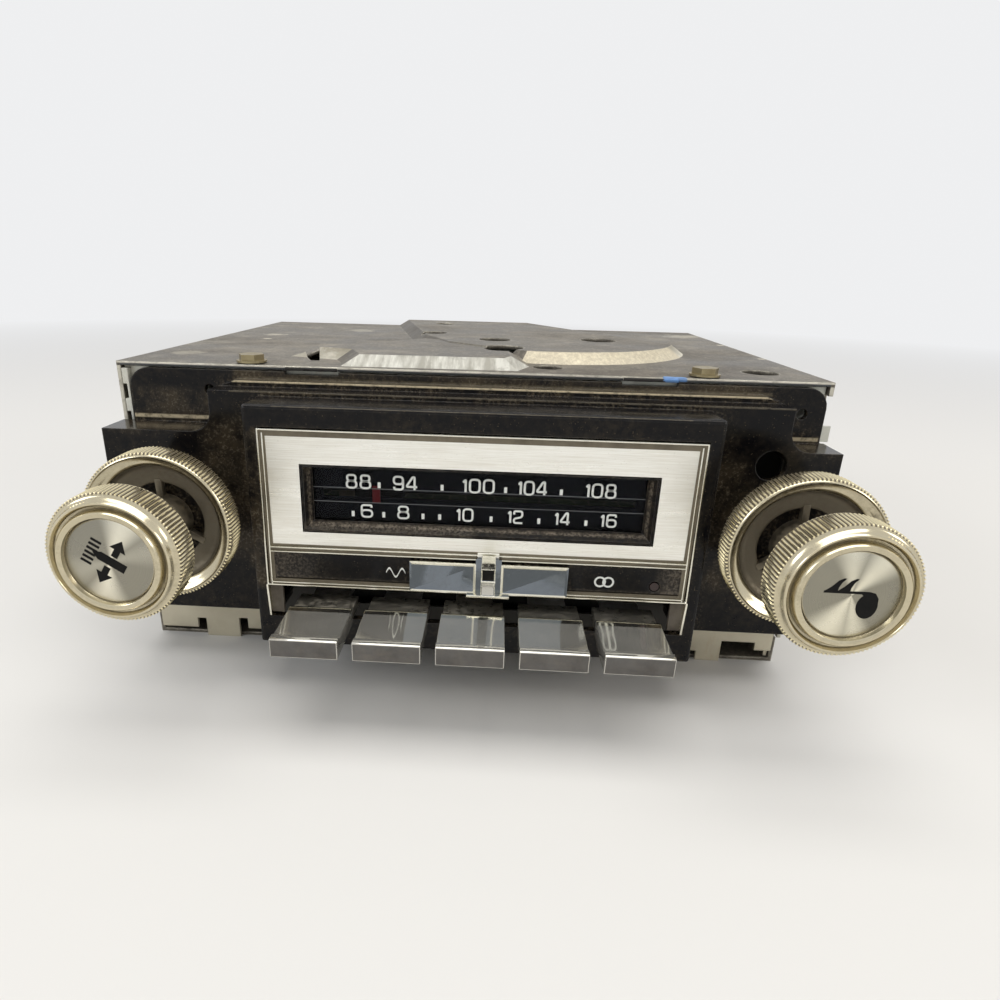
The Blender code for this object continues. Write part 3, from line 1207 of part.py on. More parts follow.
def control_ring(name, x, finish):
    """Dished rear ring: ribbed rim, spoked floor, and a hub that runs back as a sleeve."""
    floor_back = RING_BAND
    outline = ribbed_outline(RING_RADIUS, KNOB_RIB_DEPTH, RING_RIBS)
    front_y = ahead(RING_AHEAD)
    back_y = front_y + RING_BAND
    ring = extruded(name, outline, RING_BAND, facing_front(x, back_y, SHAFT_Z))
    inner = RING_RADIUS - RING_WALL
    floor = RING_FLOOR
    dish = [
        (0, OVERRUN), (inner + KNOB_WALL / 2, OVERRUN), (inner + KNOB_WALL / 2, 0), (inner, -KNOB_WALL / 2),
        (inner - KNOB_WALL / 2, -floor_back + floor), (0, -floor_back + floor),
    ]
    cut(ring, turned(name + "_dish", dish, facing_front(x, front_y, SHAFT_Z)))
    window_depth = floor + OVERRUN
    for spoke in range(RING_SPOKES):
        window = ring_window(f"{name}_window_{spoke}", spoke, window_depth)
        window.matrix_world = Matrix.Translation((x, back_y + OVERRUN / 2, SHAFT_Z))
        cut(ring, window)
    sleeve_end = CONTROL_Y + CONTROL_DEPTH / 2
    hub = rod(name + "_hub", (x, front_y + RING_BAND / 3, SHAFT_Z), RING_HUB_RADIUS, RING_BAND * 2 / 3, SMALL_STEPS)
    sleeve = rod(
        name + "_sleeve", (x, front_y + RING_BAND / 2, SHAFT_Z), SLEEVE_RADIUS,
        sleeve_end - front_y - RING_BAND / 2, SMALL_STEPS,
    )
    bore = rod(
        name + "_sleeve_bore", (x, front_y - OVERRUN, SHAFT_Z), SHAFT_RADIUS + RUNNING,
        sleeve_end - front_y + OVERRUN * 2, SMALL_STEPS,
    )
    return paint(cut(join(ring, hub, sleeve), bore), finish)


def ring_window(name, spoke, depth):
    """One opening between two spokes, as a quarter ring with straight sides."""
    inner, outer = RING_HUB_RADIUS + KNOB_WALL / 2, RING_WINDOW_RADIUS
    quarter = 2 * pi / RING_SPOKES
    start = spoke * quarter + RING_SPOKE_WIDTH / (outer + inner)
    end = (spoke + 1) * quarter - RING_SPOKE_WIDTH / (outer + inner)
    outline = arc((0, 0), outer, start, end, 5) + arc((0, 0), inner, end, start, 4)
    return extruded(name, outline, depth, FRONT_VIEW)


def shaft(name, x, end_y, finish):
    start_y = ahead(KNOB_AHEAD - KNOB_FACE_RISE) + KNOB_WALL + GAP
    piece = rod(name, (x, start_y, SHAFT_Z), SHAFT_RADIUS, end_y - start_y, SMALL_STEPS)
    return paint(piece, finish)


def bushing(name, x, finish):
    start_y = EAR_Y - BUSHING_REACH
    tube = rod(name, (x, start_y, SHAFT_Z), BUSHING_RADIUS, CHASSIS_INSIDE_Y - start_y)
    bore = rod(
        name + "_bore", (x, start_y - OVERRUN, SHAFT_Z), SLEEVE_RADIUS + RUNNING,
        CHASSIS_INSIDE_Y - start_y + OVERRUN * 2, SMALL_STEPS,
    )
    return paint(cut(tube, bore), finish)


def nut(name, x, finish):
    made = hex_head(name, NUT_ACROSS, NUT_THICKNESS, facing_front(x, EAR_Y - GAP, SHAFT_Z))
    bore_start = (x, EAR_Y - GAP - NUT_THICKNESS - OVERRUN, SHAFT_Z)
    bore = rod(name + "_bore", bore_start, BUSHING_RADIUS + GAP, NUT_THICKNESS + OVERRUN * 2)
    return paint(cut(made, bore), finish)


def control(name, x, depth, bore_radius, finish):
    """Rotary control: a round can on the chassis front, with three solder terminals below."""
    can = rod(name, (x, CONTROL_Y, SHAFT_Z), CONTROL_RADIUS, depth)
    for terminal in (-1, 0, 1):
        middle = x + terminal * TERMINAL_SPREAD
        low = (
            middle - TERMINAL_WIDTH / 2,
            CONTROL_Y + depth / 2,
            SHAFT_Z - CONTROL_RADIUS - TERMINAL_LENGTH,
        )
        high = (middle + TERMINAL_WIDTH / 2, CONTROL_Y + depth / 2 + TERMINAL_THICKNESS, SHAFT_Z - CONTROL_RADIUS / 2)
        join(can, box(f"{name}_terminal_{terminal}", low, high))
    bore = rod(name + "_bore", (x, CONTROL_Y - OVERRUN, SHAFT_Z), bore_radius, depth + OVERRUN * 2, SMALL_STEPS)
    return paint(cut(can, bore), finish)


def gear_outline(teeth):
    """Straight-flanked teeth with backlash, on the pitch circle of the shared module."""
    pitch_radius = GEAR_MODULE * teeth / 2
    root = pitch_radius - GEAR_MODULE * DEDENDUM_SHARE
    tip = pitch_radius + GEAR_MODULE * ADDENDUM_SHARE
    outline = []
    for tooth in range(teeth):
        middle = 2 * pi * tooth / teeth
        pitch = 2 * pi / teeth
        for side, share, radius in (
            (-1, TOOTH_SHARE * 1.5, root), (-1, TOOTH_TIP_SHARE, tip),
            (1, TOOTH_TIP_SHARE, tip), (1, TOOTH_SHARE * 1.5, root),
        ):
            angle = middle + side * share * pitch / 2
            outline.append((radius * cos(angle), radius * sin(angle)))
    return outline


def tuning_drive(brass, steel):
    """Pinion on the tuning shaft, and the large wheel that it turns on a fixed stud."""
    place = facing_front(LEFT_SHAFT_X, GEAR_Y + GEAR_THICKNESS, SHAFT_Z)
    pinion = extruded("drive_pinion", gear_outline(PINION_TEETH), GEAR_THICKNESS, place)
    bore = rod("pinion_bore", (LEFT_SHAFT_X, GEAR_Y - OVERRUN, SHAFT_Z), SHAFT_RADIUS + GAP, OVERRUN * 3, SMALL_STEPS)
    paint(cut(pinion, bore), brass)
    half_tooth = Matrix.Rotation(pi + pi / WHEEL_TEETH, 4, "Z")
    wheel_place = facing_front(WHEEL_X, GEAR_Y + GEAR_THICKNESS, SHAFT_Z) @ half_tooth
    wheel = extruded("tuning_wheel", gear_outline(WHEEL_TEETH), GEAR_THICKNESS, wheel_place)
    centre = (WHEEL_X, GEAR_Y - OVERRUN, SHAFT_Z)
    cut(wheel, rod("wheel_bore", centre, STUD_RADIUS + GAP, OVERRUN * 3, SMALL_STEPS))
    for hole in range(WHEEL_HOLES):
        angle = 2 * pi * hole / WHEEL_HOLES
        start = (WHEEL_X + WHEEL_HOLE_CIRCLE * cos(angle), GEAR_Y - OVERRUN, SHAFT_Z + WHEEL_HOLE_CIRCLE * sin(angle))
        cut(wheel, rod(f"wheel_hole_{hole}", start, WHEEL_HOLE_RADIUS, OVERRUN * 3, SMALL_STEPS))
    paint(wheel, brass)
    stud_start = CHASSIS_INSIDE_Y + GAP
    stud = rod("wheel_stud", (WHEEL_X, stud_start, SHAFT_Z), STUD_RADIUS, GEAR_Y + GEAR_THICKNESS * 2 - stud_start, SMALL_STEPS)
    shoulder = rod("stud_shoulder", (WHEEL_X, stud_start, SHAFT_Z), STUD_FLANGE_RADIUS, GEAR_Y - GAP - stud_start, SMALL_STEPS)
    return paint(join(stud, shoulder), steel)


def pointer(finish, steel):
    """Pointer in the scale's slot with its carriage behind the scale, and the fixed rail."""
    x = NOSE_X + POINTER_OFFSET
    z = down(DIAL_SLOT_DROP)
    front = DIAL_Y - GAP - POINTER_THICKNESS
    half = POINTER_WIDTH / 2
    blade = box(
        "dial_pointer",
        (x - half, front, z - POINTER_HEIGHT / 2),
        (x + half, DIAL_Y - GAP, z + POINTER_HEIGHT / 2),
    )
    carriage_y = DIAL_BACK_Y + CARRIAGE_BEHIND_DIAL
    stem = box(
        "pointer_stem",
        (x - POINTER_STEM / 2, front + POINTER_THICKNESS / 2, z - POINTER_STEM / 2),
        (x + POINTER_STEM / 2, carriage_y + GAP, z + POINTER_STEM / 2),
    )
    carriage = box(
        "pointer_carriage",
        (x - CARRIAGE_WIDTH / 2, carriage_y, z - CARRIAGE_HEIGHT / 2),
        (x + CARRIAGE_WIDTH / 2, carriage_y + CARRIAGE_DEPTH, z + CARRIAGE_HEIGHT / 2),
    )
    rail_y = carriage_y + CARRIAGE_DEPTH / 2
    left, _, right, _ = window_inside(DIAL_MARGIN)
    bore = rod(
        "carriage_bore", (x - CARRIAGE_WIDTH, rail_y, z), RAIL_RADIUS + RUNNING, CARRIAGE_WIDTH * 2, SMALL_STEPS, "X"
    )
    paint(cut(join(blade, stem, carriage), bore), finish)
    return paint(rod("pointer_rail", (left, rail_y, z), RAIL_RADIUS, right - left, SMALL_STEPS, "X"), steel)


def tuner(can, ferrite):
    """Screened coil block and the bar whose three cores slide into it."""
    left = NOSE_X - TUNER_WIDTH / 2
    low = BOARD_TOP + GAP
    block = box(
        "tuner_block", (left, TUNER_Y, low), (left + TUNER_WIDTH, TUNER_Y + TUNER_DEPTH, low + TUNER_HEIGHT)
    )
    z = low + TUNER_HEIGHT / 2
    reach = CORE_TRAVEL + CORE_ENGAGED
    bar_y = CORE_BAR_Y
    half = CORE_PITCH * (CORE_COUNT - 1) / 2 + CORE_RADIUS * 2
    bar = box(
        "core_bar",
        (NOSE_X - half, bar_y, z - CORE_BAR_HEIGHT / 2),
        (NOSE_X + half, bar_y + CORE_BAR_THICKNESS, z + CORE_BAR_HEIGHT / 2),
    )
    for core in range(CORE_COUNT):
        x = NOSE_X + (core - (CORE_COUNT - 1) / 2) * CORE_PITCH
        start = (x, TUNER_Y - OVERRUN, z)
        hole_depth = OVERRUN + reach + CORE_ENGAGED
        cut(block, rod(f"coil_bore_{core}", start, CORE_RADIUS + CORE_CLEARANCE, hole_depth, SMALL_STEPS))
        rod_start = (x, bar_y + CORE_BAR_THICKNESS / 2, z)
        join(bar, rod(f"core_{core}", rod_start, CORE_RADIUS, reach + CORE_BAR_THICKNESS / 2, SMALL_STEPS))
    paint(block, can)
    return paint(bar, ferrite)


def circuit_board(finish, can):
    half = CHASSIS_HALF - SHEET - GAP
    board = box(
        "circuit_board", (-half, BOARD_Y, BOARD_HEIGHT), (half, REAR_Y - SHEET - BOARD_REAR_MARGIN, BOARD_TOP)
    )
    paint(board, finish)
    start = (CAPACITOR_X, FRONT_Y + CAPACITOR_SETBACK, BOARD_TOP + GAP)
    capacitor = rod("filter_capacitor", start, CAPACITOR_RADIUS, CAPACITOR_HEIGHT, 24, "Z")
    return paint(capacitor, can)


def heat_sink(finish, can):
    """Finned block on the rear wall, with two power transistors in the gaps of its fins."""
    y = REAR_Y + GAP
    left = HEAT_SINK_X - HEAT_SINK_WIDTH / 2
    top = HEAT_SINK_BOTTOM + HEAT_SINK_HEIGHT
    sink = box(
        "heat_sink", (left, y, HEAT_SINK_BOTTOM), (left + HEAT_SINK_WIDTH, y + HEAT_SINK_BASE, top)
    )
    pitch = (HEAT_SINK_WIDTH - FIN_THICKNESS) / (FIN_COUNT - 1)
    for fin in range(FIN_COUNT):
        x = left + fin * pitch
        low = (x, y + HEAT_SINK_BASE / 2, HEAT_SINK_BOTTOM)
        join(sink, box(f"fin_{fin}", low, (x + FIN_THICKNESS, y + HEAT_SINK_BASE + FIN_DEPTH, top)))
    for side in (-1, 1):
        x = HEAT_SINK_X + side * TRANSISTOR_SPREAD / 2
        z = HEAT_SINK_BOTTOM + HEAT_SINK_HEIGHT / 2
        start = (x, y + HEAT_SINK_BASE, z)
        cut(sink, rod(f"transistor_pocket_{side}", start, TRANSISTOR_RADIUS + GAP * 3, FIN_DEPTH + OVERRUN))
        name = "power_transistor_" + ("1" if side < 0 else "2")
        can_start = (x, y + HEAT_SINK_BASE + GAP, z)
        base = rod(name, can_start, TRANSISTOR_RADIUS, HEAT_SINK_BASE / 2)
        cap = rod(name + "_can", can_start, TRANSISTOR_RADIUS * 0.72, TRANSISTOR_CAN)
        paint(join(base, cap), can)
    return paint(sink, finish)


def antenna_socket(finish):
    start = REAR_Y - SOCKET_LENGTH / 2
    tube = rod("antenna_socket", (SOCKET_X, start, SOCKET_HEIGHT), SOCKET_RADIUS, SOCKET_LENGTH)
    flange = rod(
        "socket_flange", (SOCKET_X, REAR_Y + GAP, SOCKET_HEIGHT), SOCKET_FLANGE, SOCKET_FLANGE_THICKNESS
    )
    bore = rod("socket_bore", (SOCKET_X, start + SOCKET_FLOOR, SOCKET_HEIGHT), SOCKET_BORE, SOCKET_LENGTH)
    return paint(cut(join(tube, flange), bore), finish)


def connector(name, x, width, finish):
    """Shrouded plug socket in the rear wall, with a row of square pins."""
    low_z, high_z = CONNECTOR_Z - CONNECTOR_HEIGHT / 2, CONNECTOR_Z + CONNECTOR_HEIGHT / 2
    start = REAR_Y - CONNECTOR_DEPTH * 2 / 3
    body = box(name, (x - width / 2, start, low_z), (x + width / 2, start + CONNECTOR_DEPTH, high_z))
    wall = CONNECTOR_WALL
    rim = box(
        name + "_rim",
        (x - width / 2 - wall, REAR_Y + GAP, low_z - wall),
        (x + width / 2 + wall, REAR_Y + GAP + wall, high_z + wall),
    )
    cavity = box(
        name + "_cavity",
        (x - width / 2 + wall, start + wall, low_z + wall),
        (x + width / 2 - wall, start + CONNECTOR_DEPTH + OVERRUN, high_z - wall),
    )
    cut(join(body, rim), cavity)
    for side in (-1, 1):
        middle = x + side * PIN_PITCH / 2
        low = (middle - PIN_SIZE / 2, start + wall / 2, CONNECTOR_Z + wall)
        high = (middle + PIN_SIZE / 2, start + wall + PIN_LENGTH, CONNECTOR_Z + wall + PIN_SIZE)
        join(body, box(f"{name}_pin_{side}", low, high))
    return paint(body, finish)


def main():
    clear_scene()
    zinc = material("zinc sheet", (0.62, 0.62, 0.58), 0.45, 0.8)
    dusty_sheet = material("dusty sheet", (0.30, 0.27, 0.23), 0.6, 0.7)
    yellow_zinc = material("yellow zinc", (0.62, 0.52, 0.30), 0.4, 0.9)
    black = material("black plastic", (0.015, 0.015, 0.017), 0.3, 0.0)
    dark = material("dial black", (0.01, 0.012, 0.02), 0.4, 0.0)
    chrome = material("chrome", (0.80, 0.79, 0.76), 0.08, 1.0)
    brushed = material("brushed aluminium", (0.78, 0.78, 0.75), 0.35, 1.0)
    clear = material("clear lens", (0.9, 0.95, 0.95), 0.05, 0.0)
    red = material("pointer red", (0.6, 0.03, 0.02), 0.4, 0.0)
    steel = material("steel", (0.50, 0.50, 0.49), 0.4, 0.9)
    brass = material("brass", (0.68, 0.52, 0.25), 0.35, 0.9)
    nylon = material("nylon", (0.75, 0.72, 0.62), 0.5, 0.0)
    board_green = material("board", (0.16, 0.22, 0.09), 0.6, 0.0)
    can = material("tin can", (0.66, 0.66, 0.64), 0.3, 0.9)
    ferrite = material("ferrite", (0.10, 0.09, 0.09), 0.6, 0.0)
    black_metal = material("black anodised", (0.04, 0.04, 0.04), 0.5, 0.6)
    chassis(zinc)
    top_cover(dusty_sheet)
    bottom_cover(dusty_sheet)
    screws(yellow_zinc)
    front_housing(black)
    bezel_frame(chrome)
    trim_plate(brushed)
    window_frame(black)
    dial_lens(clear)
    dial_scale(dark)
    light_box(nylon)
    dial_lamp(clear)
    indicator_strip(dark)
    indicator_jewel(red)
    band_slider(chrome)
    band_switch(nylon)
    button_guide(zinc)
    for number in range(BUTTON_COUNT):
        button_cap(number, chrome)
        button_plunger(number, steel)
        button_spring(number, steel)
    for side, x in (("left", LEFT_SHAFT_X), ("right", RIGHT_SHAFT_X)):
        bushing(f"bushing_{side}", x, brass)
        nut(f"panel_nut_{side}", x, brass)
    knob("tuning_knob", LEFT_SHAFT_X, chrome)
    knob("volume_knob", RIGHT_SHAFT_X, chrome)
    control_ring("tone_ring", LEFT_SHAFT_X, chrome)
    control_ring("fader_ring", RIGHT_SHAFT_X, chrome)
    shaft("tuning_shaft", LEFT_SHAFT_X, GEAR_Y + GEAR_THICKNESS * 2, steel)
    shaft("volume_shaft", RIGHT_SHAFT_X, CONTROL_Y + VOLUME_DEPTH - GAP, steel)
    control("tone_control", LEFT_SHAFT_X, CONTROL_DEPTH, SLEEVE_RADIUS + GAP, can)
    control("volume_control", RIGHT_SHAFT_X, VOLUME_DEPTH, SLEEVE_RADIUS + GAP, can)
    tuning_drive(brass, steel)
    pointer(red, steel)
    tuner(can, ferrite)
    circuit_board(board_green, can)
    heat_sink(black_metal, can)
    antenna_socket(can)
    connector("power_connector", CONNECTOR_X, CONNECTOR_WIDTH, nylon)
    connector("speaker_connector", SPEAKER_X, SPEAKER_WIDTH, nylon)


main()
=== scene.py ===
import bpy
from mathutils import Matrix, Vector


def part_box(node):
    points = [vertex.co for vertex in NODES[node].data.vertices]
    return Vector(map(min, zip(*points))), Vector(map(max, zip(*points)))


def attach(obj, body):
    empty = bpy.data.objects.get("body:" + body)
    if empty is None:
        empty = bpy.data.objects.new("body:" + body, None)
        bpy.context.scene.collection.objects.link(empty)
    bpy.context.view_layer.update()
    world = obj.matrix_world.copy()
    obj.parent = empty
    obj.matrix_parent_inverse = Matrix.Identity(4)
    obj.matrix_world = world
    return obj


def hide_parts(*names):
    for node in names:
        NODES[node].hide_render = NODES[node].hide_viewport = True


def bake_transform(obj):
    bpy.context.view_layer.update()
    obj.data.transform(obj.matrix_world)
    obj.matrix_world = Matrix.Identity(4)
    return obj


bl_info = {
    "name": "Dash Radio Dresser",
    "version": (1, 0, 0),
    "blender": (4, 5, 0),
    "location": "3D View > Sidebar > Radio",
    "description": "Dresses the car radio's solids: knurled knobs, plated buttons, dial, finishes, floor and light",
    "category": "Object",
}

from functools import partial, partialmethod, reduce
from math import atan2, cos, hypot, pi, radians, sin

import bmesh
import bpy
from bpy.props import FloatProperty, FloatVectorProperty, IntProperty, PointerProperty
from bpy.types import Operator, Panel, PropertyGroup
from mathutils import Matrix, Vector

MM = 0.001
CASE_TOP = 82 * MM
FACING_FRONT = Matrix.Rotation(radians(90), 4, "X")

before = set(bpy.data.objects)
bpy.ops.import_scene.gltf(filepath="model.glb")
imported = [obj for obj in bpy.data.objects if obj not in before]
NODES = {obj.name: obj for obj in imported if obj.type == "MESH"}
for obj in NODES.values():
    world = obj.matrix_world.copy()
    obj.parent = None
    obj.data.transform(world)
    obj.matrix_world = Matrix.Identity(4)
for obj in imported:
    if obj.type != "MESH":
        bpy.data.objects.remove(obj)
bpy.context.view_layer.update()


def middle(node):
    low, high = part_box(node)
    return (low + high) / 2


def down(drop):
    """Height of a point this many millimetres below the top of the cover."""
    return CASE_TOP - drop * MM


# ---------------------------------------------------------------- sizes and colours


class RadioSizes(PropertyGroup):
    knob_teeth: IntProperty(
        name="Knob teeth", description="Ribs round each front knob", default=104, min=24, max=200
    )
    ring_teeth: IntProperty(
        name="Ring teeth", description="Ribs round each rear ring", default=124, min=24, max=240
    )
    rib_depth: FloatProperty(
        name="Rib depth", description="How far the ribs of the knobs stand out", default=0.42 * MM,
        min=0.05 * MM, max=1.5 * MM, unit="LENGTH", precision=5,
    )
    edge: FloatProperty(
        name="Edge radius", description="Rounding on the plated edges", default=0.22 * MM,
        min=0.02 * MM, max=1 * MM, unit="LENGTH", precision=5,
    )
    figure_height: FloatProperty(
        name="Figure height", description="Height of the dial's upper numbers", default=3.80 * MM,
        min=1 * MM, max=8 * MM, unit="LENGTH", precision=5,
    )
    print_relief: FloatProperty(
        name="Print relief", description="Thickness of the printed figures and marks", default=0.05 * MM,
        min=0.01 * MM, max=0.5 * MM, unit="LENGTH", precision=5,
    )


def colour(name, text, red, green, blue):
    return FloatVectorProperty(
        name=name, description=text, subtype="COLOR", size=3, min=0, max=1, default=(red, green, blue)
    )


class RadioColours(PropertyGroup):
    chrome: colour("Chrome", "Plated trim, buttons and knobs", 0.60, 0.59, 0.55)
    plate: colour("Brushed plate", "Brushed sheet round the window", 0.975, 0.945, 0.85)
    plastic: colour("Black plastic", "Moulded front", 0.0045, 0.0045, 0.0055)
    dust: colour("Dust", "Brown dust that settled on the front", 0.24, 0.18, 0.105)
    cover: colour("Cover sheet", "Aged sheet of the case", 0.155, 0.138, 0.112)
    zinc: colour("Zinc", "Bare plated chassis", 0.60, 0.61, 0.56)
    figures: colour("Figures", "Numbers and marks of the dial", 0.86, 0.88, 0.84)
    pointer: colour("Pointer", "Dial pointer", 0.55, 0.03, 0.02)
    floor: colour("Floor", "Studio floor", 0.80, 0.79, 0.77)


def sizes():
    return bpy.context.scene.radio_sizes


def colours():
    return bpy.context.scene.radio_colours


# ---------------------------------------------------------------- modelling by operator


def deselect():
    if bpy.context.object and bpy.context.object.mode != "OBJECT":
        bpy.ops.object.mode_set(mode="OBJECT")
    bpy.ops.object.select_all(action="DESELECT")


def choose(piece):
    """Makes one piece the active one, and the only one that is selected."""
    deselect()
    bpy.context.view_layer.objects.active = piece
    piece.select_set(True)


def named(name):
    """The object that was just made, under its name."""
    piece = bpy.context.object
    piece.name = piece.data.name = name
    return piece


def edit(piece):
    choose(piece)
    bpy.ops.object.mode_set(mode="EDIT")


def leave_edit():
    bpy.ops.object.mode_set(mode="OBJECT")


def settle(piece, matrix=None):
    """Leaves the piece's place in its mesh and its object at the origin."""
    if matrix is not None:
        piece.matrix_world = matrix
        bpy.context.view_layer.update()
    choose(piece)
    bpy.ops.object.transform_apply(location=True, rotation=True, scale=True)
    return piece


def pick(piece, kind, test):
    """Selects, in edit mode, the vertices, edges or faces that pass the test."""
    mesh = bmesh.from_edit_mesh(piece.data)
    kinds = {"VERT": mesh.verts, "EDGE": mesh.edges, "FACE": mesh.faces}
    bpy.context.tool_settings.mesh_select_mode = [one == kind for one in kinds]
    for items in reversed(kinds.values()):
        for item in items:
            item.select = False
    for item in kinds[kind]:
        if test(item):
            item.select_set(True)
    mesh.select_flush_mode()
    bmesh.update_edit_mesh(piece.data)


def block(name, low, high):
    deselect()
    low, high = Vector(low), Vector(high)
    bpy.ops.mesh.primitive_cube_add(size=1, location=(low + high) / 2, scale=high - low)
    return settle(named(name))


def apply_modifier(piece, kind, **values):
    choose(piece)
    modifier = piece.modifiers.new("shape", kind)
    for key, value in values.items():
        setattr(modifier, key, value)
    bpy.ops.object.modifier_apply(modifier=modifier.name)
    return piece


def round_edges(piece, width, segments=2, angle=30):
    return apply_modifier(
        piece, "BEVEL", width=width, segments=segments, limit_method="ANGLE", angle_limit=radians(angle)
    )


def smooth(piece, angle=32):
    choose(piece)
    bpy.ops.object.shade_smooth_by_angle(angle=radians(angle))
    return piece


def unite(name, pieces):
    deselect()
    for piece in pieces:
        piece.select_set(True)
    bpy.context.view_layer.objects.active = pieces[0]
    if len(pieces) > 1:
        bpy.ops.object.join()
    return named(name)


def outwards(piece):
    edit(piece)
    bpy.ops.mesh.select_all(action="SELECT")
    bpy.ops.mesh.remove_doubles(threshold=0.001 * MM)
    bpy.ops.mesh.normals_make_consistent(inside=False)
    leave_edit()
    return piece


def turn(name, rings, count, close_start=True, close_end=True):
    """A turned shape about Z: a circle is extruded and resized through (radius, height) rings."""
    deselect()
    radius, height = rings[0]
    bpy.ops.mesh.primitive_circle_add(vertices=count, radius=radius, fill_type="NOTHING", location=(0, 0, height))
    piece = settle(named(name))
    edit(piece)
    bpy.ops.mesh.select_all(action="SELECT")
    if close_start:
        bpy.ops.mesh.edge_face_add()
        pick(piece, "EDGE", lambda edge: True)
    previous, level = radius, height
    for radius, height in rings[1:]:
        bpy.ops.mesh.extrude_region_move(
            MESH_OT_extrude_region={"use_dissolve_ortho_edges": False},
            TRANSFORM_OT_translate={"value": (0, 0, height - level)},
        )
        scale = radius / previous
        bpy.ops.transform.resize(value=(scale, scale, 1), center_override=(0, 0, height))
        previous, level = radius, height
    if close_end:
        bpy.ops.mesh.edge_face_add()
    leave_edit()
    return piece


def open_turn(name, rings, count):
    return turn(name, rings, count, close_start=False, close_end=False)


def rings_of(profile, radius, start):
    """Rings from (share of the radius, millimetres past the start) pairs."""
    return [(radius * share, start + rise * MM) for share, rise in profile]


def in_mm(pairs):
    return [(first * MM, second * MM) for first, second in pairs]


def rib(piece, count, depth, least, low, high):
    """Draws every second vertex of the rings between two heights in towards the axis."""
    edit(piece)
    step = 2 * pi / count

    def between_ribs(vertex):
        radius = hypot(vertex.co.x, vertex.co.y)
        if radius < least or not low <= vertex.co.z <= high:
            return False
        return round((atan2(vertex.co.y, vertex.co.x) % (2 * pi)) / step) % 2 == 1

    pick(piece, "VERT", between_ribs)
    scale = 1 - depth / least
    bpy.ops.transform.resize(value=(scale, scale, 1), center_override=(0, 0, 0))
    leave_edit()
    return piece


def face_front(piece, centre, y, angle=32):
    """Turns a piece made about Z so that +Z points out of the dash, puts it in place and smooths it."""
    settle(piece, Matrix.Translation((centre.x, y, centre.z)) @ FACING_FRONT)
    return smooth(outwards(piece), angle)


def frame_of(name, low, high, width, front, back, bevel):
    """A flat frame that faces the front: a plane, inset, its middle removed, then given depth."""
    deselect()
    place = ((low[0] + high[0]) / 2, front, (low[1] + high[1]) / 2)
    bpy.ops.mesh.primitive_plane_add(size=1, location=place, rotation=(radians(90), 0, 0))
    piece = named(name)
    piece.scale = (high[0] - low[0], high[1] - low[1], 1)
    settle(piece)
    edit(piece)
    bpy.ops.mesh.select_all(action="SELECT")
    bpy.ops.mesh.inset(thickness=width, depth=0, use_even_offset=True)
    bpy.ops.mesh.delete(type="FACE")
    leave_edit()
    apply_modifier(piece, "SOLIDIFY", thickness=back - front, offset=-1)
    return round_edges(piece, bevel, 2, 40) if bevel else piece


def wire_curve(name, thickness, resolution):
    """An empty curve whose routes become round wires of this half thickness."""
    curve = bpy.data.curves.new(name, "CURVE")
    curve.dimensions = "3D"
    curve.bevel_depth = thickness
    curve.bevel_resolution = resolution
    curve.use_fill_caps = True
    return curve


def add_route(curve, places, closed=False):
    spline = curve.splines.new("POLY")
    spline.points.add(len(places) - 1)
    for point, place in zip(spline.points, places):
        point.co = (*place, 1)
    spline.use_cyclic_u = closed


def meshed(name, curve):
    piece = bpy.data.objects.new(name, curve)
    bpy.context.scene.collection.objects.link(piece)
    choose(piece)
    bpy.ops.object.convert(target="MESH")
    return bpy.context.object


def second_finish(piece, material, test):
    """Gives the faces that pass the test a second material."""
    piece.data.materials.append(material)
    edit(piece)
    piece.active_material_index = len(piece.data.materials) - 1
    pick(piece, "FACE", test)
    bpy.ops.object.material_slot_assign()
    leave_edit()


def corner_round(points, radius, closed, steps=5):
    """A route through the points with its corners turned into arcs of about this radius."""
    route = []
    count = len(points)
    for index, point in enumerate(points):
        if not closed and index in (0, count - 1):
            route.append(Vector(point))
            continue
        here, before, after = Vector(point), Vector(points[index - 1]), Vector(points[(index + 1) % count])
        reach = min(radius, (before - here).length / 2, (after - here).length / 2)
        start, end = here + (before - here).normalized() * reach, here + (after - here).normalized() * reach
        for step in range(steps + 1):
            along = step / steps
            route.append(start * (1 - along) ** 2 + here * 2 * along * (1 - along) + end * along ** 2)
    return route


# Each figure is one or two strokes in a box 1 high: its width, then (closed, points).
FIGURE_SPACE = 0.34
STROKES = {
    "0": (0.78, [(True, [(0, 0), (0.78, 0), (0.78, 1), (0, 1)])]),
    "1": (0.20, [(False, [(0, 0.74), (0.20, 1.0), (0.20, 0)])]),
    "2": (0.76, [(False, [(0, 0.72), (0, 1), (0.76, 1), (0.76, 0.52), (0, 0.36), (0, 0), (0.80, 0)])]),
    "4": (0.82, [(False, [(0.62, 0), (0.62, 1), (0.46, 1), (0, 0.34), (0, 0.24), (0.84, 0.24)])]),
    "6": (0.76, [
        (True, [(0, 0), (0.76, 0), (0.76, 0.58), (0, 0.58)]), (False, [(0, 0.3), (0, 1), (0.72, 1), (0.72, 0.80)]),
    ]),
    "8": (0.78, [
        (True, [(0, 0), (0.78, 0), (0.78, 0.54), (0, 0.54)]),
        (True, [(0.05, 0.54), (0.73, 0.54), (0.73, 1), (0.05, 1)]),
    ]),
    "9": (0.76, [
        (True, [(0, 0.42), (0.76, 0.42), (0.76, 1), (0, 1)]),
        (False, [(0.76, 0.7), (0.76, 0), (0.04, 0), (0.04, 0.20)]),
    ]),
}


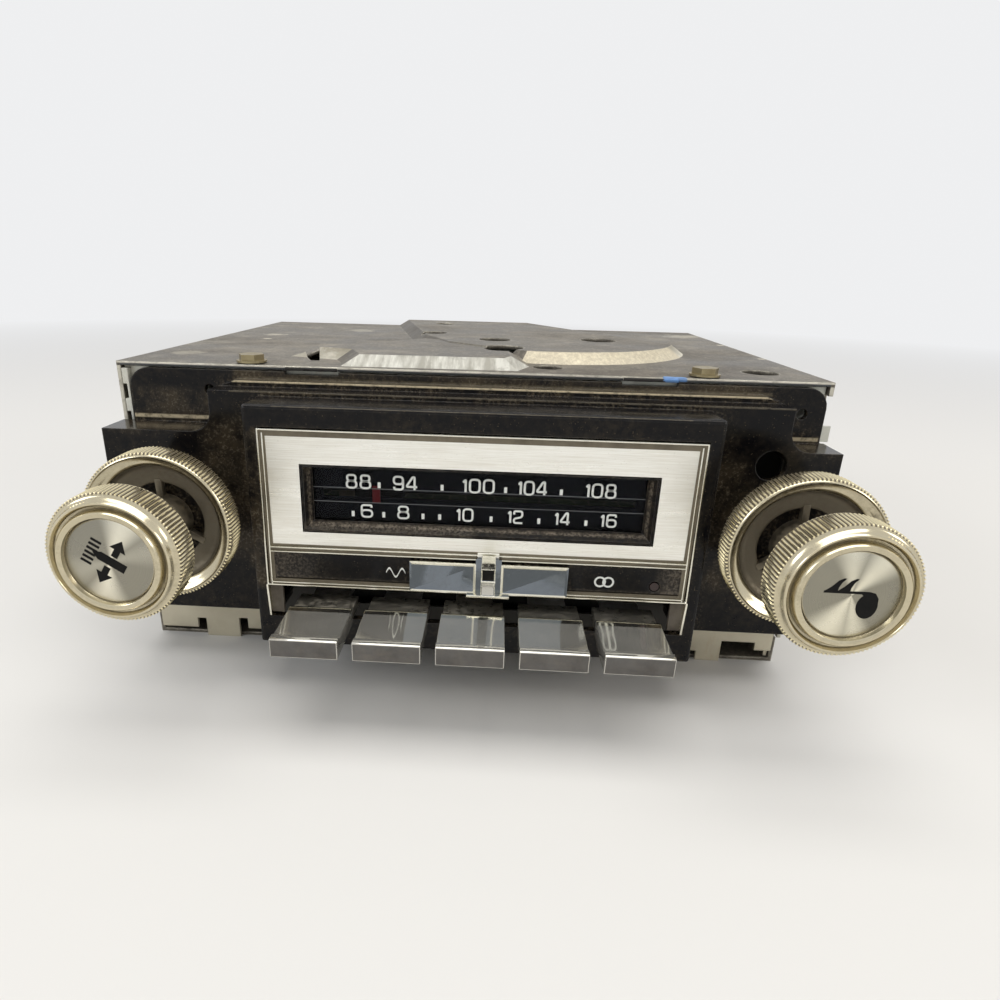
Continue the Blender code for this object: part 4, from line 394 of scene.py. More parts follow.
def draw_number(name, text, left, right, bottom, top, y, stroke, relief):
    """A number drawn in square strokes with rounded corners, fitted between two sides."""
    curve = wire_curve(name, stroke / 2, 1)
    widths = [STROKES[figure][0] for figure in text]
    across = (right - left - stroke) / (sum(widths) + FIGURE_SPACE * (len(text) - 1))
    tall = top - bottom - stroke
    start = 0
    for figure, width in zip(text, widths):
        for closed, points in STROKES[figure][1]:
            places = [
                (left + stroke / 2 + (start + spot.x) * across, bottom + stroke / 2 + spot.y * tall, 0)
                for spot in corner_round(points, 0.30 if closed else 0.22, closed)
            ]
            add_route(curve, places, closed)
        start += width + FIGURE_SPACE
    flat = Matrix.Diagonal((1, 1, relief / stroke, 1))
    return settle(meshed(name, curve), Matrix.Translation((0, y, 0)) @ FACING_FRONT @ flat)


def flat_shape(name, outlines, thickness, matrix):
    """Closed outlines, in millimetres in local XY, made a thin mesh."""
    curve = bpy.data.curves.new(name, "CURVE")
    curve.dimensions = "2D"
    curve.fill_mode = "BOTH"
    curve.extrude = thickness / 2
    for outline in outlines:
        add_route(curve, [(x * MM, y * MM, 0) for x, y in outline], True)
    return outwards(settle(meshed(name, curve), matrix))


def finish(piece, material, body, slot, *replaced):
    piece.data.materials.clear()
    piece.data.materials.append(material)
    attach(piece, body)
    if replaced:
        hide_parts(*replaced)
    return piece


# ---------------------------------------------------------------- shader building


class Sheet:
    """Places and links the nodes of one material or node group."""

    def __init__(self, tree):
        self.tree = tree
        self.shader = tree.nodes.get("Principled BSDF")
        self.column = 0

    def add(self, kind, settings=None, **sockets):
        made = self.tree.nodes.new("ShaderNode" + kind)
        self.column += 1
        made.location = (self.column * 190 - 2400, -(self.column % 4) * 220)
        for key, value in (settings or {}).items():
            setattr(made, key, value)
        for key, value in sockets.items():
            self.feed(made, key, value)
        return made

    def feed(self, made, key, value):
        """Links an output to a socket, or sets the socket; n0, n1 and so on are sockets by number."""
        name = key.replace("_", " ")
        socket = made.inputs[int(name[1:])] if name[0] == "n" and name[1:].isdigit() else made.inputs[name]
        if isinstance(value, bpy.types.NodeSocket):
            self.link(value, socket)
        elif isinstance(value, (tuple, list, Vector)) or hasattr(value, "r"):
            value = tuple(value)
            socket.default_value = (*value, 1) if len(value) == 3 and socket.type == "RGBA" else value
        else:
            socket.default_value = value

    def link(self, output, socket):
        self.tree.links.new(output, socket)

    def wire(self, **outputs):
        """Feeds the shader's sockets."""
        for key, output in outputs.items():
            self.feed(self.shader, key, output)

    def place(self):
        return self.add("TexCoord").outputs["Object"]

    def normal(self, kind="Normal"):
        return self.add("NewGeometry").outputs[kind]

    def rounded(self, radius):
        """The normal that the surface would have with its edges rounded."""
        return self.add("Bevel", {"samples": 4}, Radius=radius).outputs["Normal"]

    def axes(self, vector):
        return self.add("SeparateXYZ", Vector=vector).outputs

    def length(self, vector):
        return self.add("VectorMath", {"operation": "LENGTH"}, n0=vector).outputs["Value"]

    def maths(self, operation, first, second=0.0, clamp=False):
        return self.add("Math", {"operation": operation, "use_clamp": clamp}, n0=first, n1=second).outputs[0]

    times = partialmethod(maths, "MULTIPLY")
    plus = partialmethod(maths, "ADD")
    less = partialmethod(maths, "SUBTRACT")
    most = partialmethod(maths, "MAXIMUM")

    def mix(self, factor, first, second):
        made = self.add("Mix", {"data_type": "RGBA", "blend_type": "MIX"}, n0=factor)
        for index, value in ((6, first), (7, second)):
            self.feed(made, f"n{index}", value if isinstance(value, bpy.types.NodeSocket) else tuple(value)[:3])
        return made.outputs[2]

    def over(self, tone, mask, share, shown):
        """A colour over a tone where the mask is, at a share of its strength."""
        return self.mix(self.times(mask, share), tone, shown)

    def between(self, value, low, high, low_out=0.0, high_out=1.0):
        made = self.add("MapRange", {"clamp": True, "interpolation_type": "LINEAR"}, Value=value)
        for key, number in zip(("From Min", "From Max", "To Min", "To Max"), (low, high, low_out, high_out)):
            made.inputs[key].default_value = number
        return made.outputs["Result"]

    def band(self, value, low, high, soft):
        """1 between two values, fading to 0 over a soft edge."""
        rise = self.between(value, low - soft, low)
        return self.times(rise, self.between(value, high, high + soft, 1.0, 0.0))

    def region(self, place, low, high, soft):
        """1 inside a box in millimetres, fading to 0 over a soft edge; None leaves an axis open."""
        return reduce(self.times, [
            self.band(axis, start * MM, end * MM, soft * MM)
            for axis, start, end in zip(self.axes(place), low, high) if start is not None
        ])

    def noise(self, coordinates, scale, detail=3.0, roughness=0.55):
        made = self.add("TexNoise", Vector=coordinates, Scale=scale, Detail=detail, Roughness=roughness)
        return made.outputs["Fac"]

    def cells(self, coordinates, scale, randomness=1.0, **settings):
        return self.add("TexVoronoi", settings, Vector=coordinates, Scale=scale, Randomness=randomness).outputs

    def stretched(self, coordinates, scale):
        return self.add("Mapping", {"vector_type": "POINT"}, Vector=coordinates, Scale=scale).outputs["Vector"]

    def bump(self, height, strength, distance, normal=None):
        made = self.add("Bump", Strength=strength, Distance=distance, Height=height)
        if normal is not None:
            self.feed(made, "Normal", normal)
        return made.outputs["Normal"]


def group(name, inputs, outputs):
    """An empty node group with named number sockets."""
    tree = bpy.data.node_groups.new(name, "ShaderNodeTree")
    for label, default in inputs.items():
        tree.interface.new_socket(label, in_out="INPUT", socket_type="NodeSocketFloat").default_value = default
    for label in outputs:
        tree.interface.new_socket(label, in_out="OUTPUT", socket_type="NodeSocketFloat")
    entry, leaving = tree.nodes.new("NodeGroupInput"), tree.nodes.new("NodeGroupOutput")
    entry.location, leaving.location = (-2700, 0), (1200, 0)
    return tree, Sheet(tree), entry.outputs, leaving.inputs


def grime_group():
    """Patches of settled dust: more on faces that look up, broken up by noise."""
    tree, sheet, given, out = group(
        "settled dust", {"Amount": 0.5, "Upward": 0.5, "Size": 300.0}, ("Dust", "Specks")
    )
    place = sheet.place()
    up = sheet.between(sheet.axes(sheet.normal())["Z"], -0.1, 0.9)
    cloud = sheet.between(sheet.noise(place, 70.0, 5.0, 0.65), 0.38, 0.72)
    base = sheet.plus(cloud, sheet.times(up, given["Upward"]))
    grain = sheet.between(sheet.noise(place, given["Size"], 4.0, 0.7), 0.40, 0.66)
    sheet.link(sheet.times(sheet.times(base, grain), given["Amount"], True), out["Dust"])
    specks = sheet.cells(place, sheet.times(given["Size"], 3.2))
    near = sheet.between(specks["Distance"], 0.10, 0.24, 1.0, 0.0)
    keep = sheet.between(sheet.noise(place, 900.0, 1.0), 0.52, 0.60)
    sheet.link(sheet.times(sheet.times(near, keep), given["Amount"], True), out["Specks"])
    return tree


def scratch_group():
    """Short hairline scratches in two directions, gathered in patches."""
    tree, sheet, given, out = group("hairline scratches", {"Scale": 900.0, "Amount": 0.5}, ("Scratches",))
    place = sheet.place()
    patches = sheet.between(sheet.noise(place, 34.0, 3.0), 0.48, 0.62)
    lines = []
    for angle in (0.35, -0.75):
        turned = sheet.add(
            "VectorRotate", {"rotation_type": "AXIS_ANGLE"}, Vector=place, Axis=(0.1, 0.1, 1.0), Angle=angle
        )
        along = sheet.stretched(turned.outputs["Vector"], (0.035, 1.0, 1.0))
        lines.append(sheet.between(sheet.noise(along, given["Scale"], 2.0, 0.5), 0.66, 0.70))
    total = sheet.times(sheet.most(*lines), patches)
    sheet.link(sheet.times(total, given["Amount"]), out["Scratches"])
    return tree


def edge_group():
    """Bright along edges, found by rounding the normals near it: partly rubbed wear, partly a painted highlight."""
    tree, sheet, given, out = group("rubbed and highlit edges", {"Radius": 0.0006, "Amount": 1.0}, ("Edge",))
    alike = sheet.add(
        "VectorMath", {"operation": "DOT_PRODUCT"}, n0=sheet.rounded(given["Radius"]), n1=sheet.normal()
    )
    edge = sheet.between(alike.outputs["Value"], 0.86, 0.995, 1.0, 0.0)
    patchy = sheet.between(sheet.noise(sheet.place(), 160.0, 4.0, 0.7), 0.35, 0.60)
    sheet.link(sheet.times(sheet.times(edge, patchy), given["Amount"], True), out["Edge"])
    return tree


def corner_group():
    """Masks of inner corners found by ambient occlusion, a sharp line in the corner and a wide haze round it: dust
    where a finish lightens with them, dirt and painted shade where it darkens with them.
    """
    tree, sheet, given, out = group("corner dirt and shade", {"Narrow": 0.001, "Wide": 0.006}, ("Line", "Haze"))
    place = sheet.place()
    broken, fine = sheet.noise(place, 240.0, 4.0, 0.7), sheet.noise(place, 1100.0, 3.0, 0.7)

    def shut_in(distance, low, high):
        around = sheet.add("AmbientOcclusion", {"samples": 4, "only_local": False}, Distance=distance)
        return sheet.between(around.outputs["AO"], low, high, 1.0, 0.0)

    line = shut_in(given["Narrow"], 0.42, 0.72)
    sheet.link(sheet.times(line, sheet.between(broken, 0.30, 0.48)), out["Line"])
    haze = sheet.times(shut_in(given["Wide"], 0.30, 0.95), sheet.between(fine, 0.42, 0.62))
    sheet.link(sheet.times(haze, sheet.between(broken, 0.36, 0.64)), out["Haze"])
    return tree


GROUPS = {}
FINISHES = {}


def effect(sheet, name, **values):
    makers = {"dust": grime_group, "scratches": scratch_group, "edges": edge_group, "corners": corner_group}
    if name not in GROUPS:
        GROUPS[name] = makers[name]()
    made = sheet.add("Group", {"node_tree": GROUPS[name]})
    for key, value in values.items():
        sheet.feed(made, key, value)
    return made.outputs


def new_finish(name, **plain):
    """A material with plain numbers on its Principled shader's sockets, its sheet and its coordinates."""
    made = bpy.data.materials.new(name)
    made.use_nodes = True
    sheet = Sheet(made.node_tree)
    sheet.wire(**plain)
    return made, sheet, sheet.place()


def round_axis(sheet, place, x, z):
    """Angle round an axis that runs along Y, and distance from it."""
    shifted = sheet.add("Mapping", {"vector_type": "POINT"}, Vector=place, Location=(-x, 0, -z), Scale=(1, 0, 1))
    shifted = shifted.outputs["Vector"]
    axes = sheet.axes(shifted)
    return sheet.maths("ARCTAN2", axes["Z"], axes["X"]), sheet.length(shifted)


def plated(
    name, base, roughness=0.10, dust=0.25, upward=0.3, grime_and_shade=(0.10, 0.08, 0.055), corner=0.0007, teeth=None, film=0.0
):
    """Old chrome plate: smears, fine scratches, dust, dark dirt and painted shade in corners and between teeth, painted
    highlights on the teeth's crests, edges lightened by wear and a painted highlight.
    """
    made, sheet, place = new_finish(name, Metallic=1.0)
    smear = sheet.between(sheet.noise(place, 55.0, 4.0, 0.6), 0.30, 0.75)
    marks = effect(sheet, "scratches", Scale=1500.0, Amount=0.8)["Scratches"]
    settled = effect(sheet, "dust", Amount=dust, Upward=upward, Size=650.0)
    corners = effect(sheet, "corners", Narrow=corner, Wide=corner * 4)
    edge = effect(sheet, "edges", Radius=0.00025, Amount=1.0)["Edge"]
    dirt_and_shade = sheet.most(settled["Dust"], settled["Specks"])
    # The corner line darkens inner corners: dirt and painted shade.
    dirt_and_shade = sheet.most(dirt_and_shade, sheet.times(corners["Line"], 0.85))
    tint = sheet.mix(smear, base, [c * 0.88 for c in base])
    # Edges lightened: rubbed wear and a painted highlight.
    tint = sheet.over(tint, edge, 0.7, [min(0.95, c * 1.45) for c in base])
    if teeth:
        x, z, radius, count = teeth
        angle, reach = round_axis(sheet, place, x, z)
        wave = sheet.maths("COSINE", sheet.times(angle, count))
        on_band = sheet.between(reach, radius * 0.962, radius * 0.968)
        # Painted shade with dirt between the teeth, and a painted highlight on their crests.
        groove = sheet.times(sheet.between(wave, 0.25, -0.55), on_band)
        crest_highlight = sheet.times(sheet.between(wave, 0.55, 0.95), on_band)
        tint = sheet.over(tint, crest_highlight, 0.85, (0.96, 0.84, 0.51))
        dirt_and_shade = sheet.most(dirt_and_shade, sheet.times(groove, 0.92))
    veil = sheet.between(sheet.noise(place, 210.0, 4.0, 0.65), 0.25, 0.75, film * 0.85, film * 1.15)
    tint = sheet.mix(veil, tint, (0.58, 0.55, 0.47))
    rough = sheet.plus(sheet.times(smear, 0.07), roughness)
    rough = sheet.plus(rough, sheet.times(marks, 0.12))
    sheet.wire(
        Base_Color=sheet.mix(dirt_and_shade, tint, grime_and_shade),
        Roughness=sheet.plus(rough, sheet.times(dirt_and_shade, 0.55), True),
        Metallic=sheet.less(1.0, sheet.most(dirt_and_shade, veil), True),
        Normal=sheet.bump(sheet.less(sheet.times(smear, 0.2), marks), 0.10, 0.00004),
    )
    return made


def brushed(name, base):
    """Sheet brushed along X, with faint stains and a few scratches."""
    made, sheet, place = new_finish(name, Metallic=1.0)
    lines = sheet.noise(sheet.stretched(place, (0.02, 1.0, 1.0)), 5200.0, 3.0, 0.7)
    broad = sheet.noise(sheet.stretched(place, (0.10, 1.0, 1.0)), 620.0, 3.0, 0.6)
    stains = sheet.between(sheet.noise(place, 42.0, 5.0, 0.65), 0.35, 0.80)
    settled = effect(sheet, "dust", Amount=0.22, Upward=0.0, Size=480.0)
    tone = sheet.mix(sheet.between(lines, 0.25, 0.75), [c * 0.80 for c in base], [min(1, c * 1.12) for c in base])
    tone = sheet.over(tone, stains, 0.22, (0.66, 0.60, 0.45))
    tone = sheet.over(tone, settled["Specks"], 0.8, (0.16, 0.13, 0.10))
    rough = sheet.plus(sheet.between(broad, 0.3, 0.7, 0.22, 0.40), sheet.times(stains, 0.10))
    sheet.wire(Base_Color=tone, Roughness=rough, Normal=sheet.bump(lines, 0.22, 0.00003))
    return made


def spun(name, base, node, lobes):
    """Disc turned on a lathe, with fine rings and painted highlight fans given as (angle, width, strength)."""
    made, sheet, place = new_finish(name, Metallic=1.0, Anisotropic=0.75)
    sheet.wire(Tangent=sheet.add("Tangent", {"direction_type": "RADIAL", "axis": "Y"}).outputs["Tangent"])
    angle, reach = round_axis(sheet, place, middle(node).x, middle("tuning_knob").z)
    rings = sheet.add("TexNoise", {"noise_dimensions": "1D"}, W=reach, Scale=9000.0, Detail=3.0, Roughness=0.7)
    rings = rings.outputs["Fac"]
    stains = sheet.between(sheet.noise(place, 120.0, 5.0, 0.65), 0.42, 0.80)
    settled = effect(sheet, "dust", Amount=0.25, Upward=0.0, Size=900.0)
    fans = []
    # Painted highlight: bright fans at set angles round the disc stand for the spun finish's sheen.
    for lobe, width, strength in lobes:
        near = sheet.maths("COSINE", sheet.less(angle, radians(lobe)))
        fan = sheet.maths("POWER", sheet.between(near, cos(radians(width)), 1.0), 1.8)
        fans.append(sheet.times(fan, strength))
    tone = sheet.mix(sheet.between(rings, 0.3, 0.7), [c * 0.86 for c in base], [c * 1.08 for c in base])
    tone = sheet.over(tone, reduce(sheet.most, fans), 0.85, [min(0.95, c * 3.1) for c in base])
    tone = sheet.over(tone, stains, 0.22, (0.40, 0.36, 0.26))
    tone = sheet.over(tone, settled["Specks"], 0.7, (0.15, 0.12, 0.09))
    rough = sheet.between(stains, 0.0, 1.0, 0.26, 0.40)
    sheet.wire(Base_Color=tone, Roughness=rough, Normal=sheet.bump(rings, 0.35, 0.00003))
    return made


def moulded(name, base, corner_dust=1.0, specks=0.25, gloss=0.10, lines=(), patches=(), shine=0.16, seams=()):
    """Glossy black moulding: smears in the gloss, edges lightened by rubbing and a painted highlight, tan dust in
    corners, lines and patches.
    """
    made, sheet, place = new_finish(name, Metallic=0.0, Specular_IOR_Level=shine)
    settled = effect(sheet, "dust", Amount=specks, Upward=0.10, Size=520.0)
    corners = effect(sheet, "corners", Narrow=0.0011, Wide=0.0080)
    edge = effect(sheet, "edges", Radius=0.00035, Amount=1.0)["Edge"]
    wiped = sheet.between(sheet.noise(place, 42.0, 4.0, 0.6), 0.46, 0.70)
    cloud = sheet.between(sheet.noise(place, 150.0, 4.0, 0.65), 0.36, 0.60)
    grain = sheet.between(sheet.noise(place, 1500.0, 3.0, 0.7), 0.52, 0.66)
    haze = sheet.times(corners["Haze"], corner_dust)
    for low, high, soft, strength in patches:
        patch = sheet.times(sheet.region(place, low, high, soft), strength)
        haze = sheet.most(haze, sheet.times(patch, cloud))
    dust = sheet.times(haze, 0.45, True)
    dust = sheet.most(dust, sheet.times(settled["Dust"], 0.30))
    dust = sheet.most(dust, settled["Specks"])
    # Edges lightened: a painted highlight and rubbed wear.
    tone = sheet.over(base, edge, 0.75, (0.135, 0.130, 0.122))
    tone = sheet.mix(dust, tone, colours().dust)
    tone = sheet.mix(sheet.times(sheet.times(haze, grain, True), 0.65), tone, (0.36, 0.31, 0.23))
    crumbs = sheet.between(sheet.noise(place, 1500.0, 3.0, 0.75), 0.44, 0.60, 0.20, 1.0)
    for low, high, soft, strength in seams:
        seam = sheet.times(sheet.region(place, low, high, soft), sheet.times(crumbs, strength))
        tone = sheet.mix(seam, tone, (0.50, 0.42, 0.32))
    broken = sheet.between(sheet.noise(place, 620.0, 4.0, 0.75), 0.32, 0.52, 0.25, 1.0)
    for low, high, soft, strength in lines:
        line = sheet.times(sheet.region(place, low, high, soft), sheet.times(broken, strength))
        dust = sheet.most(dust, line)
        tone = sheet.mix(line, tone, (0.66, 0.56, 0.38))
    rough = sheet.plus(sheet.times(wiped, 0.12), gloss)
    height = sheet.plus(sheet.times(sheet.noise(place, 130.0, 2.0), 0.6), sheet.times(dust, 0.5))
    sheet.wire(
        Base_Color=tone,
        Roughness=sheet.plus(rough, sheet.times(dust, 0.7), True),
        Normal=sheet.bump(height, 0.12, 0.00008, sheet.rounded(0.0004)),
    )
    return made


# In millimetres. Cut edges of the cover's front: lowest and highest corner, colour. The third, dark entry is a painted
# shadow along the lower half of the top sheet's front edge.
COVER_CUTS = (
    ((None, -70.7, -5), (None, -70.3, 80.8), (0.62, 0.59, 0.50)),
    ((None, -70.7, 81.55), (None, -70.3, 83), (0.66, 0.63, 0.54)),
    ((-91, -70.7, 80.9), (91, -70.3, 81.45), (0.10, 0.105, 0.11)),
)
# Pale spots on the cover's top: x, y, radius, strength.
COVER_SPOTS = (
    (-73.5, -5.1, 1.6, 0.9), (-75.0, 10.6, 4.2, 0.7), (84.0, 50.0, 9.0, 0.55), (90.2, 17.5, 1.8, 1.0),
    (90.6, -23.6, 1.8, 1.0), (-48.0, 37.0, 6.0, 0.4), (-82.0, -50.0, 5.0, 0.35),
)


def aged_sheet(name, base):
    """Old plated sheet: mottled brown-grey, painted light on the slopes facing front and right, painted shade on the
    slopes facing left, dirt and painted shade in inner corners, bright cut edges with a painted shadow below, edges
    lightened by wear and a painted highlight, dust and a dab of paint.
    """
    made, sheet, place = new_finish(name, Specular_IOR_Level=0.30)
    across, ahead, up = sheet.axes(sheet.normal("True Normal"))
    # Masks by facing: slopes that face front and right get painted light, slopes that face left get painted shade.
    tilted = sheet.times(sheet.between(up, 0.975, 0.955), sheet.between(up, 0.30, 0.45))
    facing = sheet.less(sheet.times(across, 0.6), ahead)
    lit_slope = sheet.times(tilted, sheet.between(facing, 0.22, 0.44))
    shade = sheet.times(tilted, sheet.between(facing, 0.20, 0.0))
    mottle = sheet.noise(place, 30.0, 6.0, 0.68)
    cloud = sheet.noise(sheet.stretched(place, (1.0, 1.5, 1.0)), 12.0, 5.0, 0.6)
    smear = sheet.noise(sheet.stretched(place, (0.35, 1.0, 1.0)), 46.0, 5.0, 0.65)
    fine = sheet.noise(place, 420.0, 4.0, 0.7)
    stain = sheet.between(cloud, 0.46, 0.66)
    marks = effect(sheet, "scratches", Scale=620.0, Amount=1.0)["Scratches"]
    settled = effect(sheet, "dust", Amount=0.55, Upward=0.20, Size=210.0)
    corners = effect(sheet, "corners", Narrow=0.0010, Wide=0.0050)
    edge = effect(sheet, "edges", Radius=0.0008, Amount=1.0)["Edge"]
    tone = sheet.mix(sheet.between(mottle, 0.36, 0.66), [c * 0.45 for c in base], [c * 1.55 for c in base])
    blotch = sheet.noise(place, 125.0, 6.0, 0.72)
    crumbs = sheet.noise(place, 950.0, 4.0, 0.8)
    tone = sheet.mix(sheet.between(blotch, 0.58, 0.40, 0.0, 0.55), tone, [c * 0.38 for c in base])
    tone = sheet.mix(sheet.between(blotch, 0.56, 0.72, 0.0, 0.55), tone, (0.36, 0.32, 0.25))
    bits = sheet.times(sheet.between(fine, 0.58, 0.68), sheet.between(cloud, 0.44, 0.60))
    tone = sheet.over(tone, bits, 0.65, (0.52, 0.48, 0.38))
    tone = sheet.mix(sheet.between(crumbs, 0.52, 0.68, 0.0, 0.6), tone, (0.38, 0.345, 0.27))
    tone = sheet.mix(sheet.between(crumbs, 0.46, 0.32, 0.0, 0.55), tone, [c * 0.40 for c in base])
    tone = sheet.mix(sheet.times(sheet.between(fine, 0.35, 0.70), 0.25), tone, [c * 0.50 for c in base])
    tone = sheet.over(tone, stain, 0.50, (0.060, 0.048, 0.036))
    tone = sheet.mix(sheet.times(sheet.between(smear, 0.60, 0.74), 0.40), tone, (0.40, 0.36, 0.28))
    tone = sheet.over(tone, marks, 0.35, (0.38, 0.36, 0.31))
    tone = sheet.over(tone, settled["Dust"], 0.35, (0.34, 0.30, 0.23))
    tone = sheet.over(tone, settled["Specks"], 0.55, (0.50, 0.46, 0.36))
    # Painted light for the lit slopes: lighter towards the bottom, broken by smears, blotches and scuffs, with its own
    # tones on the front rib and on a patch of the right-hand slope.
    level = sheet.axes(place)["Z"]
    lit = sheet.mix(sheet.between(level, 84.6 * MM, 82.2 * MM), (0.34, 0.31, 0.24), (0.74, 0.71, 0.60))
    lit = sheet.mix(sheet.times(sheet.between(smear, 0.46, 0.62), 0.45), lit, (0.46, 0.41, 0.30))
    lit = sheet.mix(sheet.times(sheet.between(blotch, 0.50, 0.36), 0.25), lit, (0.30, 0.27, 0.20))
    lit = sheet.mix(sheet.between(blotch, 0.54, 0.66, 0.0, 0.6), lit, (0.90, 0.87, 0.76))
    scuff = sheet.noise(sheet.stretched(place, (1.0, 0.16, 0.16)), 340.0, 5.0, 0.7)
    rib_tone = sheet.mix(sheet.between(scuff, 0.40, 0.62), (0.40, 0.385, 0.33), (0.74, 0.73, 0.66))
    rib_tone = sheet.mix(sheet.between(blotch, 0.46, 0.34, 0.0, 0.6), rib_tone, (0.22, 0.20, 0.16))
    lit = sheet.mix(sheet.region(place, (-95, -72, 81), (95, -57, 86), 1.0), lit, rib_tone)
    arc = sheet.region(place, (14, -54, 81), (65, -27, 86), 3.0)
    arc_tone = sheet.mix(sheet.between(crumbs, 0.42, 0.62), (0.60, 0.53, 0.39), (0.80, 0.72, 0.54))
    lit = sheet.over(lit, arc, 0.9, arc_tone)
    # Painted light and painted shade on the slopes, dirt and painted shade in inner corners, edges lightened by wear
    # and a painted highlight.
    tone = sheet.over(tone, lit_slope, 0.92, lit)
    tone = sheet.over(tone, shade, 0.45, (0.040, 0.034, 0.028))
    tone = sheet.over(tone, corners["Haze"], 0.6, (0.050, 0.040, 0.030))
    tone = sheet.mix(edge, tone, (0.52, 0.49, 0.41))
    front_cut = sheet.between(ahead, -0.85, -0.95)
    broken = sheet.between(fine, 0.25, 0.50, 0.35, 1.0)
    for low, high, shown in COVER_CUTS:
        cut = sheet.times(front_cut, sheet.region(place, low, high, 0.08))
        tone = sheet.mix(sheet.times(cut, broken), tone, shown)
    tone = sheet.mix(sheet.region(place, (None, -74, 70), (None, -71.2, 83), 0.1), tone, (0.030, 0.028, 0.026))
    for x, y, reach, strength in COVER_SPOTS:
        away = sheet.add("VectorMath", {"operation": "DISTANCE"}, n0=place, n1=(x * MM, y * MM, CASE_TOP))
        wander = sheet.between(blotch, 0.25, 0.75, -reach * 0.9 * MM, reach * 0.9 * MM)
        ragged = sheet.plus(away.outputs["Value"], wander)
        spot = sheet.between(ragged, reach * 0.6 * MM, reach * MM, strength, 0.0)
        tone = sheet.mix(sheet.times(spot, sheet.between(fine, 0.30, 0.55, 0.5, 1.0)), tone, (0.56, 0.51, 0.40))
    dab = sheet.region(place, (50.5, -71.9, 81.2), (54.5, -69.6, 83), 1.6)
    dab = sheet.between(sheet.plus(dab, sheet.between(fine, 0.3, 0.7, -0.35, 0.35)), 0.45, 0.62)
    tone = sheet.over(tone, dab, 0.85, (0.16, 0.33, 0.66))
    bare = sheet.plus(sheet.most(marks, edge), 0.18, True)
    dull = sheet.most(settled["Dust"], stain)
    height = sheet.less(sheet.plus(mottle, sheet.times(settled["Dust"], 0.5)), marks)
    sheet.wire(
        Base_Color=tone,
        Metallic=sheet.less(bare, sheet.times(dull, 0.5), True),
        Roughness=sheet.plus(sheet.between(mottle, 0.3, 0.7, 0.36, 0.54), sheet.times(dull, 0.2)),
        Normal=sheet.bump(height, 0.22, 0.00010, sheet.rounded(0.0007)),
    )
    return made


def zinc_plate(name, base):
    """Pale zinc with white bloom and a few rust runs, made near black and dull as painted shadow behind the front
    housing.
    """
    made, sheet, place = new_finish(name, Metallic=0.0)
    spangle = sheet.add("SeparateColor", Color=sheet.cells(place, 260.0)["Color"]).outputs["Red"]
    bloom = sheet.between(sheet.noise(place, 75.0, 5.0, 0.65), 0.36, 0.66)
    runs = sheet.between(sheet.noise(sheet.stretched(place, (1.0, 1.0, 0.30)), 85.0, 5.0, 0.7), 0.60, 0.72)
    settled = effect(sheet, "dust", Amount=0.45, Upward=0.3, Size=320.0)
    tone = sheet.over(base, spangle, 0.35, [c * 0.78 for c in base])
    tone = sheet.over(tone, bloom, 0.55, (0.80, 0.78, 0.66))
    tone = sheet.over(tone, runs, 0.55, (0.40, 0.22, 0.09))
    tone = sheet.over(tone, settled["Dust"], 0.6, (0.36, 0.30, 0.22))
    low_part = sheet.region(place, (None, None, -5), (None, None, 18), 6)
    tone = sheet.over(tone, low_part, 0.6, (0.60, 0.52, 0.35))
    # Painted shadow: regions behind the front housing and its ear holes are made near black and dull.
    behind = sheet.most(
        sheet.region(place, (-56, -80, 5), (64, -66, 70), 1), sheet.region(place, (-82, -80, 40), (83, -66, 70), 1)
    )
    tone = sheet.over(tone, behind, 0.96, (0.010, 0.009, 0.008))
    dull = sheet.most(sheet.most(bloom, runs), behind)
    sheet.wire(
        Base_Color=tone,
        Metallic=sheet.between(dull, 0.0, 1.0, 0.75, 0.10),
        Roughness=sheet.between(dull, 0.0, 1.0, 0.36, 0.62),
        Normal=sheet.bump(bloom, 0.20, 0.00006, sheet.rounded(0.0004)),
    )
    return made


def worn_metal(name, base, roughness, tarnish, metallic=1.0):
    """Turned or stamped metal with tarnish in patches and edges lightened by wear and a painted highlight."""
    made, sheet, place = new_finish(name)
    patches = sheet.between(sheet.noise(place, 190.0, 5.0, 0.65), 0.38, 0.70)
    edge = effect(sheet, "edges", Radius=0.0004, Amount=0.8)["Edge"]
    settled = effect(sheet, "dust", Amount=0.4, Upward=0.4, Size=500.0)
    tone = sheet.over(base, patches, 0.6, tarnish)
    # Edges lightened: rubbed wear and a painted highlight.
    tone = sheet.mix(edge, tone, [min(1, c * 1.25) for c in base])
    tone = sheet.over(tone, settled["Dust"], 0.6, (0.24, 0.19, 0.13))
    sheet.wire(
        Base_Color=tone,
        Metallic=sheet.between(settled["Dust"], 0.0, 1.0, metallic, metallic * 0.3),
        Roughness=sheet.between(patches, 0.0, 1.0, roughness, roughness + 0.22),
        Normal=sheet.bump(patches, 0.18, 0.00005),
    )
    return made


def painted(name, base, roughness, grain=600.0, dust=0.3, shine=0.5, relief=0.10):
    """Plain plastic, paint or print with slight unevenness."""
    made, sheet, place = new_finish(name, Metallic=0.0, Specular_IOR_Level=shine)
    uneven = sheet.noise(place, grain, 4.0, 0.6)
    settled = effect(sheet, "dust", Amount=dust, Upward=0.3, Size=520.0)
    tone = sheet.mix(sheet.between(uneven, 0.3, 0.7), [c * 0.90 for c in base], [min(1, c * 1.08) for c in base])
    tone = sheet.over(tone, settled["Dust"], 0.5, (0.26, 0.21, 0.15))
    rough = sheet.between(uneven, 0.3, 0.7, roughness, roughness + 0.12)
    sheet.wire(Base_Color=tone, Roughness=rough, Normal=sheet.bump(uneven, relief, 0.00004))
    return made


